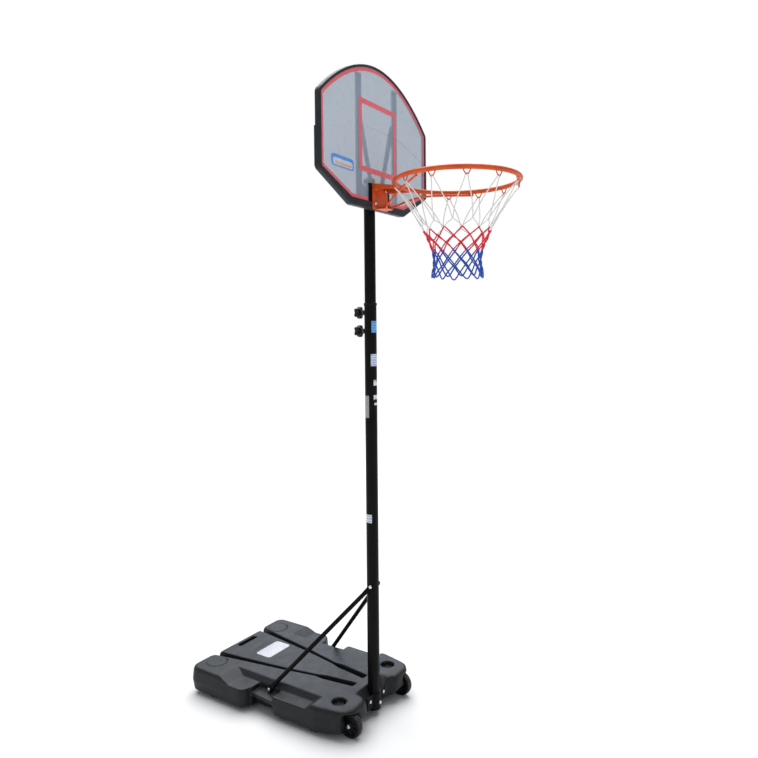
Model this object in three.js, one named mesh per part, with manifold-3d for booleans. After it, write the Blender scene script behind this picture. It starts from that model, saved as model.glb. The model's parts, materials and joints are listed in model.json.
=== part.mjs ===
// Portable basketball hoop: wheeled ballast tank, telescopic pole, two-piece backboard, rim and net.
// Millimetres, +Z up. The hoop faces -Y and the tank lies behind it, towards +Y.
// Everything is built around the pole's axis (x = 0, y = 0). The whole assembly is then shifted
// along Y, so that the origin is at the bottom centre of the object's box.

import * as THREE from 'three';
import { mergeVertices } from 'three/addons/utils/BufferGeometryUtils.js';
import Module from 'manifold-3d';

const wasm = await Module();
wasm.setup();

// ---------------------------------------------------------------- driving dimensions

const GAP = 0.3;                 // left between two pieces that touch
const SHANK = 4;                 // radius of every M8 shank
const SHANK_HOLE = 4.4;          // hole that an M8 shank passes through
const HEX = 6;                   // sides of a bolt head or nut
const HEAD_RADIUS = 7.5;
const HEAD_HEIGHT = 5.5;
const NUT_HEIGHT = 6.5;
const POLE_SIDES = 28;

const TANK_TOP = 121;
const TANK_UNDERSIDE = 15;
const TANK_PARTING = 64;
const TANK_WALL = 4.5;
const TANK_REAR = 785;
const REAR_HALF_WIDTH = 303;
const FRONT_HALF_WIDTH = 271;
const LOBE_FRONT = -48;          // foremost wall of the two front lobes
const SEAT_FRONT = -9.7;         // wall between the lobes, that the pole bracket bolts to
const SHELF_HEIGHT = 98;
const PLATEAU_HALF_WIDTH = 187;
const FILLER = { x: 205, y: 710, recess: 46, hole: 31, depth: 6 };
const INSERT_RADIUS = 9;         // threaded inserts that the strut and axle bolts screw into

const WHEEL_RADIUS = 50;
const WHEEL_WIDTH = 28;
const WHEEL_X = 188;
const WHEEL_Y = -16;
const AXLE_RADIUS = 6;
const AXLE_HEAD = 9;

const POLE_RADIUS = 25;
const POLE_WALL = 1.5;
const POLE_FOOT = 30;
const POLE_JOINT = 1240;         // where the middle section stands on the lower one
const POLE_MOUTH = 1712;         // top of the middle section
const MAST_RADIUS = 23.1;        // telescopic section
const MAST_FOOT = 1420;
const MAST_TOP = 2210;
const KNOB_HEIGHTS = [1673, 1597];

const BASE_BOLT_X = 49;
const BASE_BOLT_Z = 75;
const BRACKET_SCREW_Z = 56;
const BRACKET_THICKNESS = 3;

const STRUT_RADIUS = 9;
const STRUT_TOP = { x: 27.2, y: -8, z: 545 };
const STRUT_FOOT = { x: 217, y: 385, z: 90 };

const BOARD_TOP = 2648;
const BOARD_SHOULDER = 2464;     // where the arched top meets the upright sides
const BOARD_HIP = 2188;          // where the upright sides meet the lower slopes
const BOARD_BOTTOM = 2085;
const BOARD_HALF_WIDTH = 385;
const BOARD_BOTTOM_HALF_WIDTH = 190;
const BOARD_FRONT = -50;
const BOARD_BACK = -27;
const BOARD_LIP = 11;
const BOARD_LIP_THICKNESS = 4;
const PANEL_THICKNESS = 3;
const BAR_THICKNESS = 6;
const SEAM_SIDE = 2335;          // height of the joint between the board's halves, at the sides
const SEAM_MIDDLE = 2402;        // and across the middle

const CLAMP_HEIGHTS = [2128, 2184];
const BRACKET_FACE = -33;        // board bracket's plate, behind the bars

const RIM_CENTRE_Y = -397.5;
const RIM_HEIGHT = 2159;
const RIM_RADIUS = 234;
const RIM_TUBE = 9;
const RIM_PLATE_HALF_WIDTH = 55;
const RIM_PLATE_BOTTOM = 2083;
const RIM_PLATE_TOP = 2183;
const RIM_BOLT_X = 38;
const RIM_BOLT_HEIGHTS = [2105, 2165];
const PLATE_BACK = BOARD_FRONT - 0.4;
const PLATE_FRONT = PLATE_BACK - 3.4;
const HOOK_COUNT = 12;
const HOOK_FIRST_ANGLE = 5;      // degrees from +X, about the ring's centre
const BRACE_ANGLE = 10.5;
const BRACE_RADIUS = 4.5;

// ---------------------------------------------------------------- materials

function finish(color, roughness, metalness) {
  return new THREE.MeshStandardMaterial({ color, roughness, metalness });
}

const MATERIALS = {
  tank: finish(0x3c4046, 0.55, 0),
  blackPlastic: finish(0x1c1d20, 0.5, 0),
  wheel: finish(0x26272a, 0.7, 0),
  blackSteel: finish(0x1b1b1d, 0.4, 0.6),
  zinc: finish(0xb9bec6, 0.3, 1),
  boardFrame: finish(0x39424c, 0.5, 0),
  boardPanel: finish(0xaab4be, 0.35, 0),
  orangeSteel: finish(0xd9541a, 0.4, 0.3),
  net: finish(0xd8dade, 0.8, 0),
};

// ---------------------------------------------------------------- closed meshes and booleans

// Triangles that share their corners, with the flat ones dropped.
function weld(geometry) {
  const bare = geometry.clone();
  bare.deleteAttribute('normal');
  bare.deleteAttribute('uv');
  const merged = mergeVertices(bare, 1e-4);
  const kept = [];
  const index = merged.index.array;
  for (let i = 0; i < index.length; i += 3) {
    const [a, b, c] = [index[i], index[i + 1], index[i + 2]];
    if (a !== b && b !== c && c !== a) {
      kept.push(a, b, c);
    }
  }
  merged.setIndex(kept);
  return merged;
}

function signedVolume(geometry) {
  const position = geometry.attributes.position;
  const index = geometry.index.array;
  const [a, b, c] = [new THREE.Vector3(), new THREE.Vector3(), new THREE.Vector3()];
  let volume = 0;
  for (let i = 0; i < index.length; i += 3) {
    a.fromBufferAttribute(position, index[i]);
    b.fromBufferAttribute(position, index[i + 1]);
    c.fromBufferAttribute(position, index[i + 2]);
    volume += a.dot(b.cross(c)) / 6;
  }
  return volume;
}

// A closed mesh whose faces point out.
function closed(geometry) {
  const mesh = weld(geometry);
  if (signedVolume(mesh) < 0) {
    mesh.setIndex(Array.from(mesh.index.array).reverse());
  }
  return mesh;
}

function toSolid(geometry) {
  const mesh = closed(geometry);
  return new wasm.Manifold(new wasm.Mesh({
    numProp: 3,
    vertProperties: new Float32Array(mesh.attributes.position.array),
    triVerts: new Uint32Array(mesh.index.array),
  }));
}

function fromSolid(solid) {
  const mesh = solid.getMesh();
  const geometry = new THREE.BufferGeometry();
  geometry.setAttribute('position', new THREE.BufferAttribute(mesh.vertProperties, 3));
  geometry.setIndex(Array.from(mesh.triVerts));
  return geometry;
}

function joined(...geometries) {
  return fromSolid(geometries.map(toSolid).reduce((whole, piece) => whole.add(piece)));
}

function carved(body, ...tools) {
  return fromSolid(tools.map(toSolid).reduce((rest, tool) => rest.subtract(tool), toSolid(body)));
}

function overlap(a, b) {
  return fromSolid(toSolid(a).intersect(toSolid(b)));
}

// ---------------------------------------------------------------- outlines

const point = (x, y, z = 0) => new THREE.Vector3(x, y, z);

// Corners are [x, y, radius]. A corner with a radius becomes an arc.
function roundedOutline(corners, steps = 4) {
  const outline = [];
  corners.forEach(([x, y, radius], i) => {
    const corner = point(x, y);
    if (!radius) {
      outline.push(corner);
      return;
    }
    const before = corners[(i + corners.length - 1) % corners.length];
    const after = corners[(i + 1) % corners.length];
    const back = point(before[0] - x, before[1] - y).normalize();
    const ahead = point(after[0] - x, after[1] - y).normalize();
    const half = back.angleTo(ahead) / 2;
    const middle = back.clone().add(ahead).normalize();
    const centre = corner.clone().addScaledVector(middle, radius / Math.sin(half));
    const start = corner.clone().addScaledVector(back, radius / Math.tan(half)).sub(centre);
    const turn = Math.PI - 2 * half;
    const side = Math.sign(back.x * ahead.y - back.y * ahead.x);
    for (let step = 0; step <= steps; step += 1) {
      const angle = -side * turn * (step / steps);
      outline.push(start.clone().applyAxisAngle(point(0, 0, 1), angle).add(centre));
    }
  });
  return outline;
}

// The corners of one half (x > 0), followed by their mirror images.
function mirroredCorners(half) {
  const other = half.filter(([x]) => x > 0).map(([x, y, radius]) => [-x, y, radius]);
  return [...half, ...other.reverse()];
}

function outlineArea(outline) {
  return THREE.ShapeUtils.area(outline);
}

// The outline moved inwards by a distance, or outwards by a negative one.
function inset(outline, distance) {
  const inward = Math.sign(outlineArea(outline));
  return outline.map((corner, i) => {
    const before = outline[(i + outline.length - 1) % outline.length];
    const after = outline[(i + 1) % outline.length];
    const a = corner.clone().sub(before).normalize();
    const b = after.clone().sub(corner).normalize();
    const normal = point(-a.y - b.y, a.x + b.x).normalize();
    const stretch = 1 / Math.max(0.6, normal.dot(point(-a.y, a.x)));
    return corner.clone().addScaledVector(normal, inward * distance * stretch);
  });
}

function atHeight(outline, z) {
  return outline.map((corner) => point(corner.x, corner.y, z));
}

function circle(radius, z, sides) {
  return Array.from({ length: sides }, (_, i) => {
    const angle = (2 * Math.PI * i) / sides;
    return point(radius * Math.cos(angle), radius * Math.sin(angle), z);
  });
}

// ---------------------------------------------------------------- basic solids

// Triangles of a flat ring of points, all turning the same way as the ring.
function capTriangles(ring) {
  const normal = point(0, 0, 0);
  ring.forEach((a, i) => {
    const b = ring[(i + 1) % ring.length];
    normal.add(point((a.y - b.y) * (a.z + b.z), (a.z - b.z) * (a.x + b.x), (a.x - b.x) * (a.y + b.y)));
  });
  const size = [Math.abs(normal.x), Math.abs(normal.y), Math.abs(normal.z)];
  const drop = size.indexOf(Math.max(...size));
  const flat = ring.map((p) => {
    const kept = [p.x, p.y, p.z].filter((_, axis) => axis !== drop);
    return new THREE.Vector2(kept[0], kept[1]);
  });
  const way = Math.sign(outlineArea(flat));
  return THREE.ShapeUtils.triangulateShape(flat, []).map(([a, b, c]) => {
    const same = Math.sign(outlineArea([flat[a], flat[b], flat[c]])) === way;
    return same ? [a, b, c] : [a, c, b];
  });
}

// A skin through rings of equal point counts. It is capped at both ends, or runs round to its start.
function loft(rings, endless = false) {
  const count = rings[0].length;
  const index = [];
  const spans = endless ? rings.length : rings.length - 1;
  for (let level = 0; level < spans; level += 1) {
    const low = level * count;
    const high = ((level + 1) % rings.length) * count;
    for (let i = 0; i < count; i += 1) {
      const next = (i + 1) % count;
      index.push(low + i, low + next, high + next);
      index.push(low + i, high + next, high + i);
    }
  }
  if (!endless) {
    const last = (rings.length - 1) * count;
    capTriangles(rings[0]).forEach(([a, b, c]) => index.push(a, c, b));
    capTriangles(rings[rings.length - 1]).forEach(([a, b, c]) => index.push(last + a, last + b, last + c));
  }
  const geometry = new THREE.BufferGeometry();
  const places = rings.flat().flatMap((p) => [p.x, p.y, p.z]);
  geometry.setAttribute('position', new THREE.Float32BufferAttribute(places, 3));
  geometry.setIndex(index);
  return geometry;
}

// A plan outline as an upright solid. Levels are [z, inset].
function stack(outline, levels) {
  return loft(levels.map(([z, distance]) => atHeight(inset(outline, distance), z)));
}

function prism(outline, bottom, top) {
  return loft([atHeight(outline, bottom), atHeight(outline, top)]);
}

// An outline drawn in x and z, as a plate between two depths.
function uprightPlate(outline, front, back) {
  const ring = (y) => outline.map((corner) => point(corner.x, y, corner.y));
  return loft([ring(front), ring(back)]);
}

// An outline drawn in y and z, as a plate between two values of x.
function sidePlate(outline, from, to) {
  const ring = (x) => outline.map((corner) => point(x, corner.x, corner.y));
  return loft([ring(from), ring(to)]);
}

function box(low, high) {
  const geometry = new THREE.BoxGeometry(high[0] - low[0], high[1] - low[1], high[2] - low[2]);
  return geometry.translate((low[0] + high[0]) / 2, (low[1] + high[1]) / 2, (low[2] + high[2]) / 2);
}

function tube(outer, inner, bottom, top, sides = POLE_SIDES) {
  const profile = [[outer, bottom], [outer, top], [inner, top], [inner, bottom], [outer, bottom]];
  return turned(profile, sides);
}

function disc(radius, bottom, top, sides = 24) {
  return loft([circle(radius, bottom, sides), circle(radius, top, sides)]);
}

// A profile of [radius, z], turned about the Z axis.
function turned(profile, sides) {
  const points = profile.map(([radius, z]) => new THREE.Vector2(radius, z));
  return new THREE.LatheGeometry(points, sides).rotateX(Math.PI / 2);
}

// Moves a solid made along +Z, so that it points along x, y or z from a place.
function aimed(geometry, axis, sign, place) {
  const direction = point(axis === 'x' ? sign : 0, axis === 'y' ? sign : 0, axis === 'z' ? sign : 0);
  const turn = new THREE.Quaternion().setFromUnitVectors(point(0, 0, 1), direction);
  return geometry.applyQuaternion(turn).translate(place[0], place[1], place[2]);
}

function rod(points, radius, sides, steps) {
  const section = new THREE.Shape(circle(radius, 0, sides));
  const extrudePath = new THREE.CatmullRomCurve3(points, false, 'centripetal');
  return new THREE.ExtrudeGeometry(section, { steps, extrudePath, bevelEnabled: false });
}

function mirroredX(geometry) {
  return closed(geometry.clone().scale(-1, 1, 1));
}

// Head above z = 0, shank below it.
function hexBolt(length, shank = SHANK, head = HEAD_RADIUS, height = HEAD_HEIGHT) {
  const chamfer = 0.25 * height;
  return loft([
    circle(shank, -length, HEX),
    circle(shank, 0, HEX),
    circle(head, 0, HEX),
    circle(head, height - chamfer, HEX),
    circle(head - chamfer, height, HEX),
  ]);
}

function hexNut() {
  const hole = SHANK / Math.cos(Math.PI / HEX) + GAP;
  const corners = [[hole, 0], [HEAD_RADIUS, 0], [HEAD_RADIUS, NUT_HEIGHT], [hole, NUT_HEIGHT]];
  return loft(corners.map(([radius, z]) => circle(radius, z, HEX)), true);
}

function shankHole(axis, place, length) {
  return aimed(disc(SHANK_HOLE, 0, length, 12), axis, 1, place);
}

// ---------------------------------------------------------------- the assembly

const hoop = new THREE.Group();
const assembly = new THREE.Group();
assembly.position.y = -(TANK_REAR + RIM_CENTRE_Y - RIM_RADIUS - RIM_TUBE) / 2;
hoop.add(assembly);

function add(name, geometry, material) {
  const mesh = new THREE.Mesh(closed(geometry), material);
  mesh.name = name;
  assembly.add(mesh);
}

function addPair(name, geometry, material) {
  add(`${name}_right`, geometry, material);
  add(`${name}_left`, mirroredX(geometry), material);
}

// ---------------------------------------------------------------- ballast tank

const TANK_PLAN = roundedOutline(mirroredCorners([
  [122, TANK_REAR - 9, 30],
  [151, TANK_REAR - 15, 20],
  [180, TANK_REAR, 30],
  [REAR_HALF_WIDTH, TANK_REAR, 42],
  [REAR_HALF_WIDTH, 460, 36],
  [258, 452, 10],
  [FRONT_HALF_WIDTH, 312, 0],
  [FRONT_HALF_WIDTH - 3, 105, 40],
  [FRONT_HALF_WIDTH - 27, -18, 52],
  [200, LOBE_FRONT, 30],
  [112, LOBE_FRONT, 30],
  [84, SEAT_FRONT, 20],
]));

// Levels are [z, inset] for the outer skin.
const TANK_LEVELS = [
  [TANK_UNDERSIDE, 16],
  [21, 7],
  [TANK_PARTING, 0],
  [106, 4],
  [116, 8],
  [TANK_TOP, 15],
];

function tankBody(wall) {
  if (!wall) {
    return stack(TANK_PLAN, TANK_LEVELS);
  }
  const levels = [[TANK_UNDERSIDE + wall, 13], [TANK_PARTING, 0], [106, 4], [TANK_TOP - wall, 12]];
  return stack(TANK_PLAN, levels.map(([z, distance]) => [z, distance + wall]));
}

const ABOVE = TANK_TOP + 9;      // cutting tools reach past the top, the underside and the sides
const BELOW = -9;
const SIDE = REAR_HALF_WIDTH + 40;

// Low step along each side, with ramps at both ends.
function shelfCut(wall) {
  const plan = (inner, front, rear) => [
    [inner - wall, front - wall], [SIDE, front - wall], [SIDE, rear + wall], [inner - wall, rear + wall],
  ].map(([x, y]) => point(x, y));
  return loft([
    atHeight(plan(PLATEAU_HALF_WIDTH + 22, 156, 545), SHELF_HEIGHT - wall),
    atHeight(plan(PLATEAU_HALF_WIDTH, 124, 602), TANK_TOP),
    atHeight(plan(PLATEAU_HALF_WIDTH, 124, 602), ABOVE),
  ]);
}

// Waist on each side for the strut's foot, above and below a web.
function waistCuts(wall) {
  const plan = (inner) => inset(roundedOutline([
    [inner, 326, 12], [SIDE, 326, 0], [SIDE, 450, 0], [inner, 450, 12],
  ]), -wall);
  return [
    prism(plan(207), 77 - wall, ABOVE),
    prism(plan(222), BELOW, 62 + wall),
  ];
}

// Deep V of two grooves. Stations are [x, y, width] along the middle of the right one.
const GROOVE = [
  [153, TANK_REAR + 15, 36],
  [129, 640, 24],
  [95, 420, 17],
  [63, 258, 13],
  [57, 214, 30],
  [38, 70, 32],
];

function grooveCut(wall) {
  const near = GROOVE.map(([x, y, width]) => point(x - width / 2, y));
  const far = GROOVE.map(([x, y, width]) => point(x + width / 2, y)).reverse();
  const plan = inset([...near, ...far], -wall);
  const floor = TANK_TOP - 26 - wall;
  return loft([
    atHeight(inset(plan, 4), floor),
    atHeight(inset(plan, 2), floor + 4),
    atHeight(plan, TANK_TOP),
    atHeight(plan, ABOVE),
  ]);
}

// Round pocket behind each wheel.
function pocketCut(wall) {
  const floor = TANK_TOP - 21 - wall;
  return loft([
    circle(27 + wall, floor, 20),
    circle(31 + wall, TANK_TOP, 20),
    circle(31 + wall, ABOVE, 20),
  ]).translate(179, 47, 0);
}

// Space for the wheel: a slot round it, open at the front and to the side.
function wheelCuts(wall) {
  const reach = WHEEL_RADIUS + 4 + wall;
  const inner = WHEEL_X - WHEEL_WIDTH / 2 - 5 - wall;
  const outer = WHEEL_X + WHEEL_WIDTH / 2 + 4 + wall;
  const slot = aimed(disc(reach, 0, outer - inner), 'x', 1, [inner, WHEEL_Y, WHEEL_RADIUS]);
  const under = box([inner, WHEEL_Y - reach, BELOW], [outer, WHEEL_Y + reach, WHEEL_RADIUS]);
  const cheek = aimed(disc(reach, 0, 120), 'x', 1, [inner, WHEEL_Y, WHEEL_RADIUS]);
  const front = box([inner, -120, BELOW], [SIDE, -3 + wall, ABOVE]);
  const below = box([inner, -120, BELOW], [SIDE, -3 + wall, WHEEL_RADIUS]);
  return [slot, under, overlap(cheek, front), below];
}

// Underside that rises towards the front of the lobes.
function prowCut(wall) {
  const line = [[112, TANK_UNDERSIDE - 1], [20, 26], [-16, 35], [-34, 47], [-60, 84]];
  const raised = line.map(([y, z]) => point(y, z + wall));
  return sidePlate([...raised, point(-120, 84 + wall), point(-120, BELOW), point(112, BELOW)], -SIDE, SIDE);
}

// Sloping seat between the front lobes, and the upright trough that holds the pole.
function seatCuts(wall) {
  const plan = (half, rear) => inset(roundedOutline([
    [half, -120, 0], [half, rear, 16], [-half, rear, 16], [-half, -120, 0],
  ]), -wall);
  const slope = loft([
    atHeight(plan(66, -6), 84 - wall),
    atHeight(plan(92, 18), 112 - wall),
    atHeight(plan(112, 38), ABOVE - wall),
  ]);
  const reach = POLE_RADIUS + 2 * GAP + wall;
  const floor = POLE_FOOT - 8 - wall;
  return [slope, disc(reach, floor, ABOVE), box([-reach, -60, floor], [reach, 0, ABOVE])];
}

function fillerRecess(wall) {
  const floor = TANK_TOP - FILLER.depth - wall;
  return disc(FILLER.recess + wall, floor, ABOVE).translate(FILLER.x, FILLER.y, 0);
}

// Finger slot at the rear edge, for dragging the tank.
function handSlot(wall) {
  const plan = roundedOutline([[-42, 724, 8], [72, 724, 8], [72, 748, 8], [-42, 748, 8]], 3);
  return stack(plan, [[TANK_TOP - 24 - wall, 3 - wall], [ABOVE, -wall]]);
}

function bothSides(geometry) {
  return [geometry, mirroredX(geometry)];
}

function tankCuts(wall) {
  const sided = [shelfCut(wall), ...waistCuts(wall), grooveCut(wall), pocketCut(wall), ...wheelCuts(wall)];
  const centred = [...seatCuts(wall), handSlot(wall), prowCut(wall)];
  return [...sided.flatMap(bothSides), ...bothSides(fillerRecess(wall)), ...centred];
}

function tankFoot(x, y, length) {
  const plan = roundedOutline([
    [x - 13, y - length / 2, 10], [x + 13, y - length / 2, 10],
    [x + 13, y + length / 2, 10], [x - 13, y + length / 2, 10],
  ], 3);
  return stack(plan, [[0, 2], [4, 0], [TANK_UNDERSIDE + 3, 0]]);
}

function addTank() {
  const feet = [tankFoot(229, 125, 70), tankFoot(262, 668, 60)].flatMap(bothSides);
  const cavity = carved(tankBody(TANK_WALL), ...tankCuts(TANK_WALL));
  const neck = disc(FILLER.hole, 90, ABOVE).translate(FILLER.x, FILLER.y, 0);
  const strutInsert = aimed(disc(INSERT_RADIUS + GAP, 0, 30, 16), 'x', 1, [190, STRUT_FOOT.y, STRUT_FOOT.z]);
  const axleInsert = aimed(disc(INSERT_RADIUS + GAP, 0, 30, 16), 'x', 1, [145, WHEEL_Y, WHEEL_RADIUS]);
  const screw = shankHole('y', [BASE_BOLT_X, -12, BASE_BOLT_Z], 14);
  const holes = [neck, strutInsert, axleInsert, screw].flatMap(bothSides);
  add('base_tank', carved(joined(tankBody(0), ...feet), ...tankCuts(0), cavity, ...holes), MATERIALS.tank);
}

function addFillerCaps() {
  const seat = TANK_TOP - FILLER.depth + GAP;
  const profile = [
    [0, TANK_TOP - 22], [FILLER.hole - 0.6, TANK_TOP - 22], [FILLER.hole - 0.6, seat],
    [FILLER.recess - 0.5, seat], [FILLER.recess - 0.5, TANK_TOP - 0.8],
    [FILLER.recess - 1.5, TANK_TOP], [0, TANK_TOP],
  ];
  addPair('filler_cap', turned(profile, 24).translate(FILLER.x, FILLER.y, 0), MATERIALS.tank);
}

// ---------------------------------------------------------------- wheels

function addWheels() {
  const half = WHEEL_WIDTH / 2;
  const bore = AXLE_RADIUS + 0.3;
  const profile = [
    [bore, -half], [15, -half], [18, -half + 8], [36, -half + 8], [39, -half], [46, -half],
    [WHEEL_RADIUS, -half + 4], [WHEEL_RADIUS, half - 4],
    [46, half], [39, half], [36, half - 8], [18, half - 8], [15, half], [bore, half], [bore, -half],
  ];
  const wheel = aimed(turned(profile, 24), 'x', 1, [WHEEL_X, WHEEL_Y, WHEEL_RADIUS]);
  addPair('wheel', wheel, MATERIALS.wheel);

  const outerFace = WHEEL_X + half + 1;
  const innerWall = WHEEL_X - half - 5;
  const bolt = hexBolt(outerFace - innerWall + 15, AXLE_RADIUS, AXLE_HEAD, 6);
  addPair('axle_bolt', aimed(bolt, 'x', 1, [outerFace, WHEEL_Y, WHEEL_RADIUS]), MATERIALS.zinc);
  const insert = tube(INSERT_RADIUS, AXLE_RADIUS + GAP, 0, 16, 16);
  addPair('axle_insert', aimed(insert, 'x', 1, [innerWall - 16, WHEEL_Y, WHEEL_RADIUS]), MATERIALS.zinc);
}

// ---------------------------------------------------------------- struts

// Tube from the pole to the tank's waist, flattened into an eye at both ends.
function strutSkin(radius, pull) {
  const top = point(STRUT_TOP.x, STRUT_TOP.y, STRUT_TOP.z);
  const foot = point(STRUT_FOOT.x, STRUT_FOOT.y, STRUT_FOOT.z);
  const along = foot.clone().sub(top).normalize();
  const level = point(0, along.y, along.z).normalize();
  const stations = pull ? [] : [[top, level, -9, 5.5, 1.5], [top, level, 13, 10.5, 1.5]];
  stations.push([top, along, 40 + pull, radius, radius], [foot, along, -40 - pull, radius, radius]);
  if (!pull) {
    stations.push([foot, level, -13, 10.5, 1.5], [foot, level, 9, 5.5, 1.5]);
  }
  return loft(stations.map(([origin, direction, distance, width, thickness]) => {
    const sideways = point(1, 0, 0).addScaledVector(direction, -direction.x).normalize();
    const upright = direction.clone().cross(sideways);
    const centre = origin.clone().addScaledVector(direction, distance);
    return circle(1, 0, 16).map((corner) => centre.clone()
      .addScaledVector(upright, corner.x * width)
      .addScaledVector(sideways, corner.y * thickness));
  }));
}

function addStruts() {
  const topEye = shankHole('x', [10, STRUT_TOP.y, STRUT_TOP.z], 40);
  const footEye = shankHole('x', [200, STRUT_FOOT.y, STRUT_FOOT.z], 40);
  const drain = disc(2, -40, 0, 8).translate(
    STRUT_FOOT.x * 0.8 + STRUT_TOP.x * 0.2,
    STRUT_FOOT.y * 0.8 + STRUT_TOP.y * 0.2,
    STRUT_FOOT.z * 0.8 + STRUT_TOP.z * 0.2,
  );
  const strut = carved(strutSkin(STRUT_RADIUS, 0), strutSkin(STRUT_RADIUS - 1.8, 6), topEye, footEye, drain);
  addPair('strut', strut, MATERIALS.blackSteel);

  const face = STRUT_FOOT.x + 1.5 + GAP;
  const foot = [face, STRUT_FOOT.y, STRUT_FOOT.z];
  addPair('strut_foot_bolt', aimed(hexBolt(26), 'x', 1, foot), MATERIALS.zinc);
  const insert = tube(INSERT_RADIUS, SHANK + GAP, 0, 20, 16);
  addPair('strut_insert', aimed(insert, 'x', 1, [195, STRUT_FOOT.y, STRUT_FOOT.z]), MATERIALS.zinc);

  const side = STRUT_TOP.x + 1.5 + GAP;
  const place = [-side, STRUT_TOP.y, STRUT_TOP.z];
  add('strut_top_bolt', aimed(hexBolt(2 * side + 9), 'x', -1, place), MATERIALS.zinc);
  const nut = aimed(hexNut(), 'x', 1, [side, STRUT_TOP.y, STRUT_TOP.z]);
  add('strut_top_nut', nut, MATERIALS.zinc);
}

// ---------------------------------------------------------------- pole

function addPoles() {
  const bore = POLE_RADIUS - POLE_WALL;
  const strutHole = shankHole('x', [-40, STRUT_TOP.y, STRUT_TOP.z], 80);
  const bracketHole = shankHole('y', [0, -40, BRACKET_SCREW_Z], 40);
  const lower = tube(POLE_RADIUS, bore, POLE_FOOT, POLE_JOINT);
  add('lower_pole', carved(lower, strutHole, bracketHole), MATERIALS.blackSteel);

  // The middle section's foot is swaged down, and pushed 90 mm into the lower section.
  const neck = bore - 0.3;
  const foot = POLE_JOINT - 90;
  const step = POLE_JOINT + GAP;
  const profile = [
    [neck, foot], [neck, step], [POLE_RADIUS, step], [POLE_RADIUS, POLE_MOUTH],
    [bore, POLE_MOUTH], [bore, step + 6], [neck - POLE_WALL, step], [neck - POLE_WALL, foot], [neck, foot],
  ];
  const knobHoles = KNOB_HEIGHTS.map((z) => shankHole('y', [0, 0, z], 40));
  add('middle_pole', carved(turned(profile, POLE_SIDES), ...knobHoles), MATERIALS.blackSteel);
  const collar = tube(POLE_RADIUS + 2, POLE_RADIUS + GAP, POLE_MOUTH - 11, POLE_MOUTH);
  add('pole_collar', collar, MATERIALS.blackSteel);

  const plug = [
    [0, POLE_FOOT - 7], [POLE_RADIUS, POLE_FOOT - 7], [POLE_RADIUS, POLE_FOOT - GAP],
    [bore - 0.4, POLE_FOOT - GAP], [bore - 0.4, POLE_FOOT + 10], [0, POLE_FOOT + 10],
  ];
  add('pole_foot_plug', turned(plug, POLE_SIDES), MATERIALS.blackPlastic);
}

function addMast() {
  const bore = MAST_RADIUS - POLE_WALL;
  const clampHoles = CLAMP_HEIGHTS.map((z) => shankHole('x', [-40, 0, z], 80));
  const tubeOnly = tube(MAST_RADIUS, bore, MAST_FOOT, MAST_TOP);
  add('upper_pole', carved(tubeOnly, ...clampHoles), MATERIALS.blackSteel);
  const cap = [
    [0, MAST_TOP - 12], [bore - 0.4, MAST_TOP - 12], [bore - 0.4, MAST_TOP + GAP],
    [MAST_RADIUS, MAST_TOP + GAP], [MAST_RADIUS - 1, MAST_TOP + 4], [0, MAST_TOP + 5],
  ];
  add('pole_top_cap', turned(cap, POLE_SIDES), MATERIALS.blackPlastic);
}

// Hat-shaped strap round the front of the pole's foot, with an ear on each side.
function addBaseBracket() {
  const front = SEAT_FRONT - GAP;
  const [low, high] = [27, 96];
  const inside = POLE_RADIUS + 0.5;
  const outside = inside + BRACKET_THICKNESS;
  const wrap = overlap(tube(outside, inside, low, high), box([-40, -40, low], [40, front, high]));
  const ear = box([POLE_RADIUS - 2, front - BRACKET_THICKNESS, low + 14], [66, front, high]);
  const bore = disc(inside, 0, 200, POLE_SIDES);
  const earHole = shankHole('y', [BASE_BOLT_X, -30, BASE_BOLT_Z], 40);
  const holes = [...bothSides(earHole), shankHole('y', [0, -40, BRACKET_SCREW_Z], 40)];
  const bracket = carved(joined(wrap, ...bothSides(ear)), bore, ...holes);
  add('pole_base_bracket', bracket, MATERIALS.blackSteel);

  const earPlace = [BASE_BOLT_X, front - BRACKET_THICKNESS - GAP, BASE_BOLT_Z];
  addPair('base_bolt', aimed(hexBolt(15), 'y', -1, earPlace), MATERIALS.zinc);
  const screwPlace = [0, -outside - GAP, BRACKET_SCREW_Z];
  add('base_bracket_screw', aimed(hexBolt(12), 'y', -1, screwPlace), MATERIALS.zinc);
}

// ---------------------------------------------------------------- height lock knobs

function starHead(radius, depth) {
  const lobes = 5;
  const rim = Array.from({ length: lobes * 6 }, (_, i) => {
    const angle = (2 * Math.PI * i) / (lobes * 6);
    const reach = radius * (0.84 + 0.16 * Math.cos(lobes * angle));
    return point(reach * Math.cos(angle), reach * Math.sin(angle));
  });
  return stack(rim, [[0, 3], [3, 0], [depth - 4, 0], [depth, 4]]);
}

function addKnobs() {
  const nutFace = POLE_RADIUS + GAP;
  KNOB_HEIGHTS.forEach((z, i) => {
    const place = ['upper', 'lower'][i];
    const nut = tube(10, SHANK_HOLE, 0, 8, 16);
    const saddle = disc(POLE_RADIUS + GAP, -20, 20, POLE_SIDES).translate(0, 0, z);
    const nutOnPole = carved(aimed(nut, 'y', 1, [0, nutFace - 2, z]), saddle);
    add(`knob_nut_${place}`, nutOnPole, MATERIALS.blackSteel);

    const washer = tube(9, SHANK_HOLE, 0, 1.6, 16);
    add(`knob_washer_${place}`, aimed(washer, 'y', 1, [0, nutFace + 6 + GAP, z]), MATERIALS.zinc);

    const hub = disc(11, 0, 12, 16);
    const stud = disc(SHANK, MAST_RADIUS + 0.4 - nutFace - 8.5, 2, 12);
    const knob = joined(starHead(26, 24).translate(0, 0, 11), hub, stud);
    add(`star_knob_${place}`, aimed(knob, 'y', 1, [0, nutFace + 8.5, z]), MATERIALS.blackPlastic);
  });
}

// ---------------------------------------------------------------- backboard

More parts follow.
